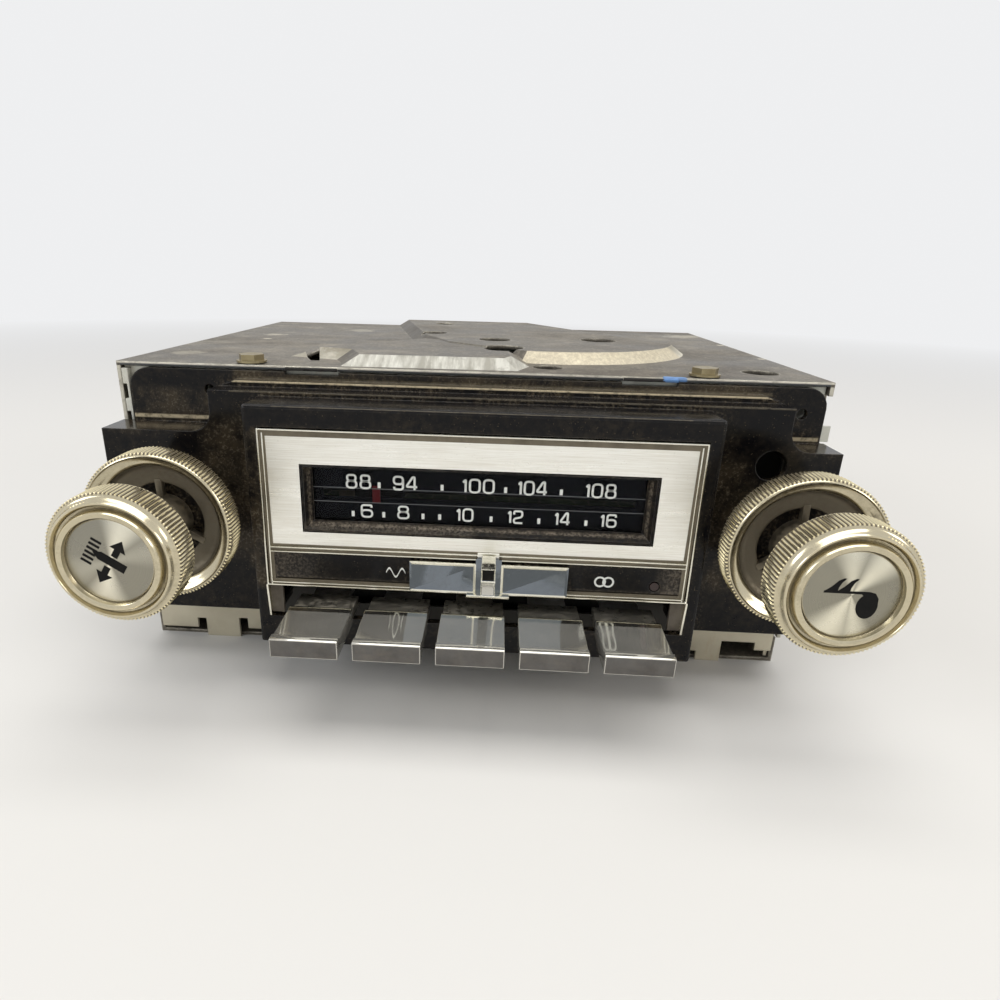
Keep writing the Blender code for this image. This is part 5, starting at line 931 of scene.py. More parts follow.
def clear_pane(name, tint):
    """Clear or smoked plastic window with faint smears in its gloss."""
    made, sheet, place = new_finish(
        name, Metallic=0.0, Transmission_Weight=1.0, IOR=1.16, Base_Color=tint
    )
    smear = sheet.between(sheet.noise(place, 90.0, 4.0, 0.6), 0.45, 0.80)
    sheet.wire(Roughness=sheet.between(smear, 0.0, 1.0, 0.015, 0.06))
    return made


def circuit(name, base):
    """Board varnish over faint tracks."""
    made, sheet, place = new_finish(name, Metallic=0.0)
    tracks = sheet.cells(place, 190.0, 0.35, feature="DISTANCE_TO_EDGE", voronoi_dimensions="2D")
    line = sheet.between(tracks["Distance"], 0.05, 0.09, 1.0, 0.0)
    rough = sheet.between(line, 0.0, 1.0, 0.5, 0.3)
    tone = sheet.over(base, line, 0.6, (0.32, 0.30, 0.12))
    sheet.wire(Base_Color=tone, Roughness=rough, Normal=sheet.bump(line, 0.3, 0.00008))
    return made


# Dark colour for dust, dirt and painted shade in the knobs' corners and between their teeth.
KNOB_GRIME_AND_SHADE = (0.075, 0.055, 0.030)


def toothed(name, node, count):
    """Brassy plate for a ribbed knob, with dirt and painted shade between its teeth and a painted highlight on their
    crests.
    """
    low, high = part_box(node)
    centre = (low + high) / 2
    teeth = (centre.x, centre.z, (high.x - low.x) / 2, count)
    return plated(name, (0.62, 0.555, 0.395), 0.12, 0.25, 0.10, KNOB_GRIME_AND_SHADE, 0.0009, teeth)


def finish_table():
    """Each finish by its name: what makes it, and with which values."""
    tones = colours()
    return {
        "trim chrome": (plated, tones.chrome, 0.10, 0.22, 0.25),
        "button chrome": (
            partial(plated, film=0.24), tones.chrome, 0.05, 0.07, 0.05, (0.10, 0.085, 0.06), 0.0003,
        ),
        "button stem chrome": (
            partial(plated, film=0.14), (0.22, 0.207, 0.18), 0.24, 0.55, 0.55, (0.24, 0.215, 0.17),
        ),
        "knob chrome": (plated, (0.52, 0.49, 0.405), 0.13, 0.25, 0.10, KNOB_GRIME_AND_SHADE, 0.0009),
        "left knob chrome": (toothed, "tuning_knob", sizes().knob_teeth),
        "right knob chrome": (toothed, "volume_knob", sizes().knob_teeth),
        "left ring chrome": (toothed, "tone_ring", sizes().ring_teeth),
        "right ring chrome": (toothed, "fader_ring", sizes().ring_teeth),
        "ring dish": (plated, (0.20, 0.175, 0.130), 0.44, 1.0, 0.45, (0.17, 0.135, 0.085)),
        "brushed plate": (brushed, tones.plate),
        # The discs' lobes are painted highlight fans: angle, width, strength.
        "left disc": (
            spun, (0.30, 0.285, 0.235), "tuning_knob", ((64, 34, 1), (-104, 36, 1), (-160, 34, 0.25), (15, 26, 0.25)),
        ),
        "right disc": (
            spun, (0.30, 0.285, 0.23), "volume_knob", ((99, 27, 0.8), (56, 31, 1), (-76, 25, 0.8), (-112, 40, 1)),
        ),
        "black moulding": (moulded, tones.plastic, 1.2, 0.35, 0.10, DUST_LINES, DUST_PATCHES),
        "clean black": (partial(moulded, shine=0.08, seams=window_seams()), tones.plastic, 1.3, 0.45, 0.24),
        "cover sheet": (aged_sheet, tones.cover),
        "zinc plate": (zinc_plate, tones.zinc),
        "yellow zinc": (worn_metal, (0.33, 0.28, 0.165), 0.34, (0.17, 0.125, 0.07)),
        "steel": (worn_metal, (0.52, 0.51, 0.49), 0.34, (0.26, 0.22, 0.17)),
        "brass": (worn_metal, (0.55, 0.455, 0.275), 0.34, (0.27, 0.215, 0.13)),
        "tin can": (worn_metal, (0.68, 0.68, 0.66), 0.28, (0.46, 0.44, 0.40)),
        "black anodised": (worn_metal, (0.035, 0.035, 0.036), 0.46, (0.09, 0.085, 0.075), 0.6),
        "dial black": (painted, (0.004, 0.006, 0.011), 0.34, 240.0, 0.10, 0.12, 0.02),
        "strip black": (partial(moulded, seams=STRIP_DUST), tones.plastic, 1.2, 0.30, 0.08),
        "figures": (painted, tones.figures, 0.5, 1400.0, 0.05),
        "dial line": (painted, (0.13, 0.135, 0.14), 0.4, 1400.0, 0.0),
        "symbol black": (painted, (0.004, 0.004, 0.004), 0.35, 1200.0, 0.05, 0.12),
        "pointer red": (painted, tones.pointer, 0.35, 900.0, 0.0),
        "nylon": (painted, (0.66, 0.62, 0.50), 0.5, 350.0, 0.4),
        "ferrite": (painted, (0.09, 0.085, 0.08), 0.6, 800.0, 0.2),
        "board": (circuit, (0.13, 0.19, 0.07)),
        "clear pane": (clear_pane, (0.93, 0.96, 0.97)),
        "smoked pane": (clear_pane, (0.36, 0.38, 0.44)),
        "dark jewel": (painted, (0.030, 0.012, 0.010), 0.08, 900.0, 0.0),
        "inner black": (painted, (0.006, 0.006, 0.006), 0.55, 500.0, 0.20, 0.12),
        "button face": (worn_metal, (0.140, 0.134, 0.127), 0.40, (0.090, 0.085, 0.078), 0.8),
        "groove": (worn_metal, (0.18, 0.155, 0.11), 0.40, (0.09, 0.077, 0.055), 0.4),
        "slider plate": (plated, (0.19, 0.215, 0.245), 0.06, 0.20, 0.1, (0.12, 0.11, 0.09), 0.0003),
        "bezel lip": (partial(plated, corner=0.00015), (0.85, 0.82, 0.69), 0.12, 0.22, 0.1),
        "clean chrome": (partial(plated, corner=0.00002), (0.86, 0.83, 0.72), 0.08, 0.0, 0.0),
        "dusty wall": (worn_metal, (0.13, 0.11, 0.085), 0.6, (0.035, 0.030, 0.024), 0.05),
    }


def finish_named(name):
    """Makes each finish once, when it is first asked for."""
    if name not in FINISHES:
        maker, *values = finish_table()[name]
        FINISHES[name] = maker(name, *values)
    return FINISHES[name]


def window_seams():
    """Boxes along the sides and foot of the dial lens, where dust gathers against it."""
    low, high = (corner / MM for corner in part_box("dial_lens"))
    return (
        ((low.x - 1, low.y - 1.2, low.z - 0.5), (high.x + 1, low.y + 1, low.z + 0.35), 0.7, 0.55),
        ((low.x - 0.5, low.y - 1.2, low.z - 2), (low.x + 0.3, low.y + 1, high.z - 2), 0.7, 0.40),
        ((high.x - 0.3, low.y - 1.2, low.z - 2), (high.x + 0.5, low.y + 1, high.z - 2), 0.7, 0.45),
        ((low.x - 4, low.y - 6, low.z - 4), (low.x + 40, low.y + 1, low.z), 2.0, 0.16),
    )


# Boxes in millimetres: lowest corner, highest corner, soft edge, strength.
DUST_LINES = (
    ((-59.5, -75.6, 78.3), (76.7, -75.1, 78.9), 0.12, 0.95), ((-59.5, -75.0, 78.4), (76.7, -71.0, 78.9), 0.4, 0.14),
    ((-89, -71.5, 67.7), (-66, -71.0, 68.3), 0.35, 0.90), ((78, -71.5, 67.3), (90, -71.0, 67.9), 0.35, 0.90),
    ((-58, -82.2, 76.9), (82, -81.4, 77.4), 0.12, 0.12), ((-44, -93.3, 75.8), (52, -92.6, 76.3), 0.12, 0.12),
)
DUST_PATCHES = (
    ((-60, -71.8, 79.2), (77, -71.0, 81.0), 1.2, 0.5), ((-89, -71.8, 68.5), (-64, -71.0, 74.0), 2.5, 0.45),
    ((-64, -82.3, 34), (-52, -81.0, 68), 4.0, 0.35), ((62, -82.3, 30), (70, -81.0, 62), 3.0, 0.35),
    ((-90, -81.0, 66.2), (-70, -71.0, 67.0), 2.0, 0.3), ((80, -81.0, 66.2), (91, -71.0, 67.0), 2.0, 0.3),
    ((-56, -93.0, 30), (-47, -81.0, 70), 1.5, 0.45),
)
STRIP_DUST = (
    ((-50, -95, 30), (-44, -88, 42), 13.0, 0.20), ((52, -95, 30), (58, -88, 42), 4.0, 0.22),
    ((-50, -95, 29), (58, -88, 32.2), 1.0, 0.22),
)

CAD_FINISHES = {
    "cover sheet": ("top_cover", "bottom_cover"),
    "zinc plate": ("chassis",),
    "yellow zinc": ("cover_screw_1", "cover_screw_2"),
    "black moulding": ("front_housing",),
    "clean black": ("window_frame",),
    "trim chrome": ("bezel_frame", "band_slider"),
    # The pointer's carriage and the button guide, deep inside the front, are made black as painted shade.
    "inner black": ("light_box", "dial_pointer", "button_guide"),
    "brushed plate": ("trim_plate",),
    "button chrome": tuple(f"button_{number}" for number in range(1, 6)),
    "knob chrome": ("tuning_knob", "volume_knob", "tone_ring", "fader_ring"),
    "dial black": ("dial_scale",),
    "strip black": ("indicator_strip",),
    "dark jewel": ("indicator_jewel",),
    "smoked pane": ("dial_lens",),
    "clear pane": ("dial_lamp",),
    "nylon": ("band_switch", "power_connector", "speaker_connector"),
    "brass": ("bushing_left", "bushing_right", "panel_nut_left", "panel_nut_right", "drive_pinion", "tuning_wheel"),
    "steel": (
        ("tuning_shaft", "volume_shaft", "wheel_stud", "pointer_rail")
        + tuple(f"plunger_{number}" for number in range(1, 6))
        + tuple(f"spring_{number}" for number in range(1, 6))
    ),
    "tin can": (
        "tone_control", "volume_control", "tuner_block", "filter_capacitor", "power_transistor_1",
        "power_transistor_2", "antenna_socket",
    ),
    "ferrite": ("core_bar",),
    "board": ("circuit_board",),
    "black anodised": ("heat_sink",),
}


# ---------------------------------------------------------------- pieces


class RADIO_OT_finishes(Operator):
    """Give every solid of the frame its finish"""

    bl_idname = "radio.finishes"
    bl_label = "Finishes"

    def execute(self, context):
        for name, nodes in CAD_FINISHES.items():
            for node in nodes:
                mesh = NODES[node].data
                mesh.materials.clear()
                mesh.materials.append(finish_named(name))
        return {"FINISHED"}


# Profiles of the knobs and rings: share of the radius, millimetres past a rim.
KNOB_BACK = ((0.90, 2.2), (0.90, 0), (0.965, 0), (0.978, 0.15), (0.978, 0.60), (0.985, 0.72), (1, 0.85))
KNOB_FRONT = (
    (1, -0.10), (0.994, 0), (0.952, 0.03), (0.935, 0.12), (0.893, 0.95), (0.888, 1.45), (0.872, 1.74),
    (0.850, 1.74), (0.834, 1.45), (0.815, 0.80), (0.785, 0.72), (0.765, 1.30), (0.755, 2.10), (0.740, 2.34),
    (0.690, 2.36), (0.668, 2.15), (0.655, 1.50), (0.645, 1.25), (0.64, 1.20), (0.64, 1.40), (0.6304, 1.46),
)
RING_BACK = ((0.955, 0), (0.965, 0.15), (1, 0.35))
RING_FRONT = (
    (1, -0.55), (0.994, -0.42), (0.968, -0.38), (0.960, -0.10), (0.948, 0), (0.936, -0.08), (0.928, -0.32),
    (0.860, -0.95), (0.812, -1.65), (0.798, -2.10),
)
RING_DISH = ((0.798, -2.10), (0.785, -2.9), (0.750, -3.9), (0.68, -4.4))
DISC_SHARE = 0.64
DISC_LEVEL = 1.44 * MM
FACE_RISE = 2.4 * MM
RING_BAND = 6.3 * MM


def make_knob(side, node, body):
    name = f"{side}_knob"
    low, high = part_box(node)
    centre = (low + high) / 2
    radius = (high.x - low.x) / 2
    length = high.y - low.y - FACE_RISE
    points = sizes().knob_teeth * 2
    shell = open_turn(name, rings_of(KNOB_BACK, radius, -length) + rings_of(KNOB_FRONT, radius, 0.0), points)
    rib(shell, points, sizes().rib_depth, radius * 0.99, -length + 0.8 * MM, 0.01 * MM)
    face_front(shell, centre, low.y + FACE_RISE, 38)
    disc = ((0.99, -0.4), (0.99, -0.06), (0.975, 0))
    plate = turn(name + "_disc", rings_of(disc, radius * DISC_SHARE, DISC_LEVEL), 96)
    face_front(plate, centre, low.y + FACE_RISE)
    wall = radius * 0.90
    hub = [*in_mm(((3.4, -5.5), (5.0, -5.5), (5.0, -1.6))), (wall, -1.6 * MM), (wall, -length + 2.2 * MM)]
    hub = face_front(open_turn(name + "_hub", hub, 64), centre, low.y + FACE_RISE)
    finish(shell, finish_named(f"{side} knob chrome"), body, "chrome_plastic", node)
    finish(plate, finish_named(f"{side} disc"), body, "brushed_plate")
    finish(hub, finish_named("ring dish"), body, "chrome_plastic")


class RADIO_OT_knobs(Operator):
    """Turn the two front knobs with their ribbed bands, beads and spun discs"""

    bl_idname = "radio.knobs"
    bl_label = "Front knobs"

    def execute(self, context):
        make_knob("left", "tuning_knob", "tuning")
        make_knob("right", "volume_knob", "volume")
        return {"FINISHED"}


def placed(x, y, angle, points):
    """Points turned through an angle and set down at a place."""
    return [(x + px * cos(angle) - py * sin(angle), y + px * sin(angle) + py * cos(angle)) for px, py in points]


def arrow(x, y, angle, length, head, shaft):
    """A short solid arrow that starts at a point and runs at an angle."""
    neck = length * 0.42
    return placed(x, y, angle, [
        (0, -shaft / 2), (neck, -shaft / 2), (neck, -head / 2), (length, 0), (neck, head / 2), (neck, shaft / 2),
        (0, shaft / 2),
    ])


def bar(x, y, angle, length, width, point=0.0):
    """A straight bar, with a point of the given length at its far end."""
    return placed(
        x, y, angle, [(0, -width / 2), (length, -width / 2), (length + point, 0), (length, width / 2), (0, width / 2)]
    )


def tuning_symbol():
    """A pointer over a comb of scale lines, with an arrow to each side, in millimetres."""
    lean = radians(-32)
    outlines = [bar(2.96, -2.11, lean + pi, 5.5, 1.78, 1.5)]
    for tooth in range(6):
        along = tooth - 2.5
        outlines.append(bar(-4.15 + along * cos(lean + pi / 2), 2.2 + along * sin(lean + pi / 2), lean, 2.2, 0.50))
    for x, y, angle in ((1.1, 0.5, 58), (-0.5, -1.6, 238)):
        outlines.append(arrow(x, y, radians(angle), 3.9, 3.3, 1.3))
    return [[outline] for outline in outlines]


def note_symbol():
    """A musical note that lies on its side, in millimetres: round head, long stem and two flags."""
    head = [(3.1 + 1.95 * cos(2 * pi * step / 40), -2.55 + 2.55 * sin(2 * pi * step / 40)) for step in range(40)]
    stem = [
        (5.0, -2.4), (4.9, -0.9), (4.2, 0.15), (3.1, 0.45), (-5.2, 0.40), (-5.3, -0.05), (1.7, -0.10), (3.3, -1.6),
    ]
    flag = ((0, 0.2), (1.3, 1.3), (2.3, 2.5), (3.2, 3.0), (3.65, 2.95), (2.95, 2.1), (2.55, 1.1), (2.45, 0.2))
    flags = [[(x + start, y) for x, y in flag] for start in (-5.25, -3.0)]
    return [[outline] for outline in (head, stem, *flags)]


class RADIO_OT_symbols(Operator):
    """Print the tuning symbol and the note on the knobs' discs"""

    bl_idname = "radio.symbols"
    bl_label = "Knob symbols"

    def execute(self, context):
        relief = sizes().print_relief
        for name, node, body, groups, aside, scale in (
            ("left_symbol", "tuning_knob", "tuning", tuning_symbol(), -0.1 * MM, 1.06),
            ("right_symbol", "volume_knob", "volume", note_symbol(), 0.1 * MM, 1.03),
        ):
            centre = middle(node)
            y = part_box(node)[0].y + FACE_RISE - DISC_LEVEL - relief * 0.3
            place = Matrix.Translation((centre.x + aside, y, centre.z + 0.45 * MM)) @ FACING_FRONT
            place = place @ Matrix.Diagonal((scale, scale, 1, 1))
            pieces = [
                flat_shape(f"{name}_{number}", outlines, relief * (1 + 0.04 * number), place)
                for number, outlines in enumerate(groups)
            ]
            finish(unite(name, pieces), finish_named("symbol black"), body, "inner_black")
        return {"FINISHED"}


def make_ring(side, node, body):
    name = f"{side}_ring"
    low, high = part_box(node)
    centre = (low + high) / 2
    radius = (high.x - low.x) / 2
    points = sizes().ring_teeth * 2
    back = -RING_BAND
    rim = [(9.0 * MM, back)]
    shell = open_turn(name, rim + rings_of(RING_BACK, radius, back) + rings_of(RING_FRONT, radius, 0.0), points)
    rib(shell, points, sizes().rib_depth, radius * 0.99, back + 0.3 * MM, -0.40 * MM)
    dish = rings_of(RING_DISH, radius, 0.0) + in_mm(((9.9, -4.6), (9.3, -5.0))) + rim
    inner = [open_turn(name + "_dish", dish, 96)]
    hub = [
        (3.35 * MM, back), *in_mm(((3.35, -2.3), (4.6, -2.1), (5.6, -2.5), (6.0, -3.4))), (6.2 * MM, back),
        (4.2 * MM, back), (4.2 * MM, -18 * MM),
    ]
    inner.append(open_turn(name + "_hub", hub, 48))
    for spoke in range(3):
        piece = block(f"{name}_spoke_{spoke}", (5.4 * MM, -0.8 * MM, back), (10.2 * MM, 0.8 * MM, -4.4 * MM))
        piece.rotation_euler = (0, 0, 2 * pi * spoke / 3 + radians(92))
        inner.append(round_edges(settle(piece), 0.25 * MM))
    well = [(3.5 * MM, back - 0.2 * MM), (9.6 * MM, back - 0.2 * MM), (9.6 * MM, back - 0.5 * MM)]
    well = open_turn(name + "_well", well, 48)
    for piece in (shell, well, *inner):
        face_front(piece, centre, low.y, 38)
    finish(shell, finish_named(f"{side} ring chrome"), body, "chrome_plastic", node)
    finish(unite(name + "_dish", inner), finish_named("ring dish"), body, "chrome_plastic")
    finish(well, finish_named("clean black"), body, "inner_black")


class RADIO_OT_rings(Operator):
    """Turn the two dished rings behind the knobs"""

    bl_idname = "radio.rings"
    bl_label = "Rear rings"

    def execute(self, context):
        make_ring("left", "tone_ring", "tone")
        make_ring("right", "fader_ring", "fader")
        return {"FINISHED"}


def slide_vertices(piece, test, offset):
    """Moves the vertices that pass the test."""
    edit(piece)
    pick(piece, "VERT", test)
    bpy.ops.transform.translate(value=offset)
    leave_edit()


# Top of a button from front to back: share of its length, share of its height.
BUTTON_TOP = (
    (0.00, 0.965), (0.020, 1.00), (0.088, 1.00), (0.100, 0.90), (0.130, 0.86), (0.560, 0.90), (0.600, 0.955),
    (0.640, 0.955), (0.66, 0.80),
)


def make_button(number):
    """Plated cap: front lip, flat mirror top, raised rear edge and a dull stem."""
    low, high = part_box(f"button_{number}")
    edge = sizes().edge
    length = high.y - low.y
    height = high.z - low.z
    cap_end = low.y + BUTTON_TOP[-1][0] * length
    cap = block(f"cap_{number}", low, (high.x, cap_end, high.z))
    edit(cap)
    for share, _ in BUTTON_TOP[1:-1]:
        bpy.ops.mesh.select_all(action="SELECT")
        bpy.ops.mesh.bisect(plane_co=(0, low.y + share * length, 0), plane_no=(0, 1, 0))
    leave_edit()
    top = high.z - 0.01 * MM
    for share, rise in BUTTON_TOP:
        y = low.y + share * length

        def on_row(vertex, y=y):
            return abs(vertex.co.y - y) < 0.01 * MM and vertex.co.z > top

        slide_vertices(cap, on_row, (0, 0, (rise - 1) * height))
    slide_vertices(cap, lambda v: v.co.z < low.z + 0.01 * MM and v.co.y < low.y + 0.01 * MM, (0, 0.15 * MM, 0))
    round_edges(cap, edge, 2, 25)
    smooth(cap, 30)
    stem_low = (low.x + 0.25 * MM, cap_end - 0.2 * MM, low.z + 0.3 * MM)
    stem = block(f"stem_{number}", stem_low, (high.x - 0.25 * MM, high.y, low.z + 0.70 * height))
    round_edges(stem, edge, 2)
    smooth(stem, 30)
    body = f"preset_{number}"
    finish(cap, finish_named("button chrome"), body, "chrome_plastic", f"button_{number}")
    second_finish(cap, finish_named("button face"), lambda face: face.normal.y < -0.97)

    def rear_lip(face):
        spot = face.calc_center_median()
        return low.y + 0.565 * length < spot.y < low.y + 0.650 * length and spot.z > high.z - 0.25 * height

    second_finish(cap, finish_named("clean chrome"), rear_lip)
    finish(stem, finish_named("button stem chrome"), body, "chrome_plastic")


class RADIO_OT_buttons(Operator):
    """Shape the five plated push buttons"""

    bl_idname = "radio.buttons"
    bl_label = "Push buttons"

    def execute(self, context):
        for number in range(1, 6):
            make_button(number)
        return {"FINISHED"}


SPRING_WIRE = 0.35 * MM
SPRING_TURNS = 5


def coil(name, low, high, wire, turns, steps=24):
    """A round wire wound about Y between two corners, made a mesh."""
    centre, radius = (low + high) / 2, (high.x - low.x) / 2 - wire
    start, end = low.y + wire, high.y - wire
    route = []
    for step in range(turns * steps + 1):
        angle = 2 * pi * step / steps
        along = start + (end - start) * step / (turns * steps)
        route.append((centre.x + radius * cos(angle), along, centre.z + radius * sin(angle)))
    curve = wire_curve(name, wire, 2)
    add_route(curve, route)
    return smooth(outwards(settle(meshed(name, curve))))


class RADIO_OT_springs(Operator):
    """Wind the return springs"""

    bl_idname = "radio.springs"
    bl_label = "Return springs"

    def execute(self, context):
        for number in range(1, 6):
            node = f"spring_{number}"
            low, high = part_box(node)
            piece = coil(f"coil_{number}", low, high, SPRING_WIRE, SPRING_TURNS)
            piece.data.materials.append(finish_named("steel"))
            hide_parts(node)
            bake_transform(piece)
        return {"FINISHED"}


class RADIO_OT_bezel(Operator):
    """Make the chrome surround: double lips with a dark groove, divider, legs and plate tongue"""

    bl_idname = "radio.bezel"
    bl_label = "Chrome surround"

    def execute(self, context):
        low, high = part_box("bezel_frame")
        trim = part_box("trim_plate")
        front, back = low.y, high.y
        side = trim[0].x - low.x
        # Drops below the top of the cover, in millimetres.
        bottom = 51.65
        top = (CASE_TOP - high.z) / MM
        strip_bottom = down(bottom)

        def rod(name, x_low, drop_low, x_high, drop_high, depth):
            piece = block(name, (x_low, front + depth * MM, down(drop_low)), (x_high, back - 0.4 * MM, down(drop_high)))
            return round_edges(piece, 0.09 * MM)

        inner_left, inner_right = low.x + side - 0.62 * MM, high.x - side + 0.62 * MM
        lips = [
            frame_of("outer_lip", (low.x, strip_bottom), (high.x, high.z), 0.38 * MM, front, back, 0.12 * MM),
            rod("left_inner_lip", inner_left, bottom - 0.3, inner_left + 0.34 * MM, top + 0.95, 0.12),
            rod("right_inner_lip", inner_right - 0.34 * MM, bottom - 0.3, inner_right, top + 0.95, 0.12),
            rod("divider_upper_lip", inner_left, 41.30, inner_right, 40.90, 0.06),
            rod("divider_lower_lip", inner_left, 42.45, inner_right, 42.10, 0.10),
            rod("bottom_inner_lip", inner_left, bottom - 0.72, inner_right, bottom - 1.06, 0.12),
        ]
        divider_high = (inner_right, back - 0.1 * MM, down(40.4))
        grooves = [
            frame_of(
                "groove", (low.x + 0.3 * MM, strip_bottom + 0.3 * MM), (high.x - 0.3 * MM, high.z - 0.3 * MM), 1.5 * MM,
                front + 0.5 * MM, back - 0.1 * MM, 0,
            ),
            block("divider_groove", (inner_left, front + 0.45 * MM, down(42.45)), divider_high),
        ]
        walls = []
        for name, left, inwards in (("left_leg", low.x - 0.35 * MM, 1), ("right_leg", high.x - 0.15 * MM, -1)):
            leg = block(name, (left, front + 0.1 * MM, low.z), (left + 0.5 * MM, back, strip_bottom + 0.1 * MM))
            lips.append(round_edges(leg, 0.12 * MM))
            inner, outer = sorted((left + 0.25 * MM, left + 0.25 * MM + inwards * 3.1 * MM))
            wall = (inner, front + 1.6 * MM, low.z + 0.4 * MM)
            walls.append(block(name + "_wall", wall, (outer, back, strip_bottom + 0.1 * MM)))
        surround = unite("surround", lips)
        for sign in (-1, 1):
            edge_x = low.x if sign < 0 else high.x

            def low_side(vertex, edge_x=edge_x):
                return abs(vertex.co.x - edge_x) < 3 * MM and strip_bottom - 0.05 * MM < vertex.co.z < down(45)

            slide_vertices(surround, low_side, (sign * 0.35 * MM, 0, 0))
        smooth(surround, 30)
        finish(surround, finish_named("bezel lip"), "case", "chrome_plastic", "bezel_frame")
        finish(unite("surround_groove", grooves), finish_named("groove"), "case", "chrome_plastic")
        finish(unite("leg_walls", walls), finish_named("dusty wall"), "case", "chrome_plastic")
        foot = down(40.62)
        apron_high = (trim[1].x, trim[0].y + 0.5 * MM, trim[0].z + 0.1 * MM)
        apron = block("plate_apron", (trim[0].x, trim[0].y, foot), apron_high)
        tongue_high = (10.2 * MM, front + 0.5 * MM, foot + 0.2 * MM)
        tongue = block("plate_tongue", (4.9 * MM, front - 0.04 * MM, down(42.7)), tongue_high)
        round_edges(tongue, 0.1 * MM)
        finish(unite("plate_tongue", [tongue, apron]), finish_named("brushed plate"), "case", "brushed_plate")
        return {"FINISHED"}


class RADIO_OT_slider(Operator):
    """Make the band slider: two bright plates joined round a finger tab"""

    bl_idname = "radio.slider"
    bl_label = "Band slider"

    def execute(self, context):
        low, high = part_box("band_slider")
        x = (low.x + high.x) / 2
        z_top = down(42.9)
        z_bottom = z_top - 8.0 * MM
        plate_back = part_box("bezel_frame")[0].y - 0.3 * MM
        plate_front = plate_back - 0.8 * MM
        half = (high.x - low.x) / 2
        gap = 3.05 * MM
        edge = sizes().edge
        parts = []
        for name, left, right in (("left_plate", x - half, x - gap), ("right_plate", x + gap, x + half)):
            plate = block(name, (left, plate_front, z_bottom), (right, plate_back, z_top))
            edit(plate)
            pick(plate, "FACE", lambda face: face.normal.y < -0.9)
            bpy.ops.mesh.inset(thickness=0.62 * MM, depth=0, use_even_offset=True)
            bpy.ops.transform.translate(value=(0, 0.22 * MM, -0.2 * MM))
            leave_edit()
            parts.append(round_edges(plate, 0.12 * MM, 2))
        reach = gap + 0.1 * MM
        web_low, web_high = (x - reach, plate_back - 0.5 * MM, z_bottom), (x + reach, plate_back, z_top + 1.2 * MM)
        parts.append(block("slider_web", web_low, web_high))
        tab_front = low.y
        tab_top = down(40.7)
        tab_low = down(48.3)
        split = down(44.5)
        tab = block("finger_tab", (x - 1.68 * MM, tab_front, tab_low), (x + 1.68 * MM, plate_back - 0.3 * MM, tab_top))
        slide_vertices(tab, lambda v: v.co.y < tab_front + 1 * MM and v.co.z > tab_top - 1 * MM, (0, 0, -0.5 * MM))
        edit(tab)
        bpy.ops.mesh.select_all(action="SELECT")
        bpy.ops.mesh.bisect(plane_co=(0, 0, split), plane_no=(0, 0, 1))
        pick(tab, "FACE", lambda face: face.normal.y < -0.8)
        bpy.ops.mesh.inset(thickness=0.27 * MM, depth=-0.40 * MM, use_even_offset=True, use_individual=True)
        leave_edit()
        parts.append(round_edges(tab, 0.15 * MM, 2))
        foot_low = z_bottom - 0.45 * MM
        foot_high = (x + 5.3 * MM, plate_back - 0.4 * MM, foot_low + 0.75 * MM)
        foot = block("tab_foot", (x - 5.3 * MM, plate_front - 1.5 * MM, foot_low), foot_high)
        parts.append(round_edges(foot, edge, 2))
        arm_low = (x - 1.5 * MM, plate_back - 0.4 * MM, down(47.05))
        parts.append(block("slider_arm", arm_low, (x + 1.5 * MM, high.y, down(44.85))))
        slider = unite("slider", parts)
        smooth(slider, 30)
        finish(slider, finish_named("slider plate"), "band", "chrome_plastic", "band_slider")

        def in_window(face, upper=True):
            spot = face.calc_center_median()
            level = tab_front + 0.25 * MM < spot.y < tab_front + 0.60 * MM
            return face.normal.y < -0.8 and level and (spot.z > split) == upper and abs(spot.x - x) < 1.6 * MM

        # Rims of the plates and of the tab take the bright lip finish as a painted highlight.
        def highlit_rim(face):
            spot = face.calc_center_median()
            on_tab = abs(spot.x - x) < 1.72 * MM and spot.y < tab_front + 0.30 * MM
            top_rim = spot.z > z_top - 0.75 * MM and spot.y < plate_front + 0.5 * MM
            low_rim = spot.z < z_bottom + 0.40 * MM and spot.y < plate_front + 0.3 * MM
            near_tab = abs(abs(spot.x - x) - gap - 0.3 * MM) < 0.36 * MM and spot.y < plate_front + 0.3 * MM
            return on_tab or top_rim or low_rim or near_tab

        second_finish(slider, finish_named("bezel lip"), highlit_rim)
        second_finish(slider, finish_named("inner black"), in_window)
        second_finish(slider, finish_named("button chrome"), lambda face: in_window(face, False))
        return {"FINISHED"}


# Text, left and right side, in millimetres; ticks are at their middles.
UPPER_FIGURES = (
    ("88", -27.8, -21.5), ("94", -16.3, -10.1), ("100", 0.5, 8.4), ("104", 13.8, 21.1), ("108", 29.9, 37.4),
)
LOWER_FIGURES = (
    ("6", -24.3, -21.2), ("8", -15.3, -12.2), ("10", -0.8, 3.5), ("12", 11.7, 15.6), ("14", 23.1, 27.1),
    ("16", 34.1, 38.2),
)
UPPER_TICKS = (-19.6, -4.3, 11.0, 24.3)
LOWER_TICKS = (-26.2, -18.6, -8.9, -4.8, 7.8, 19.4, 30.8)


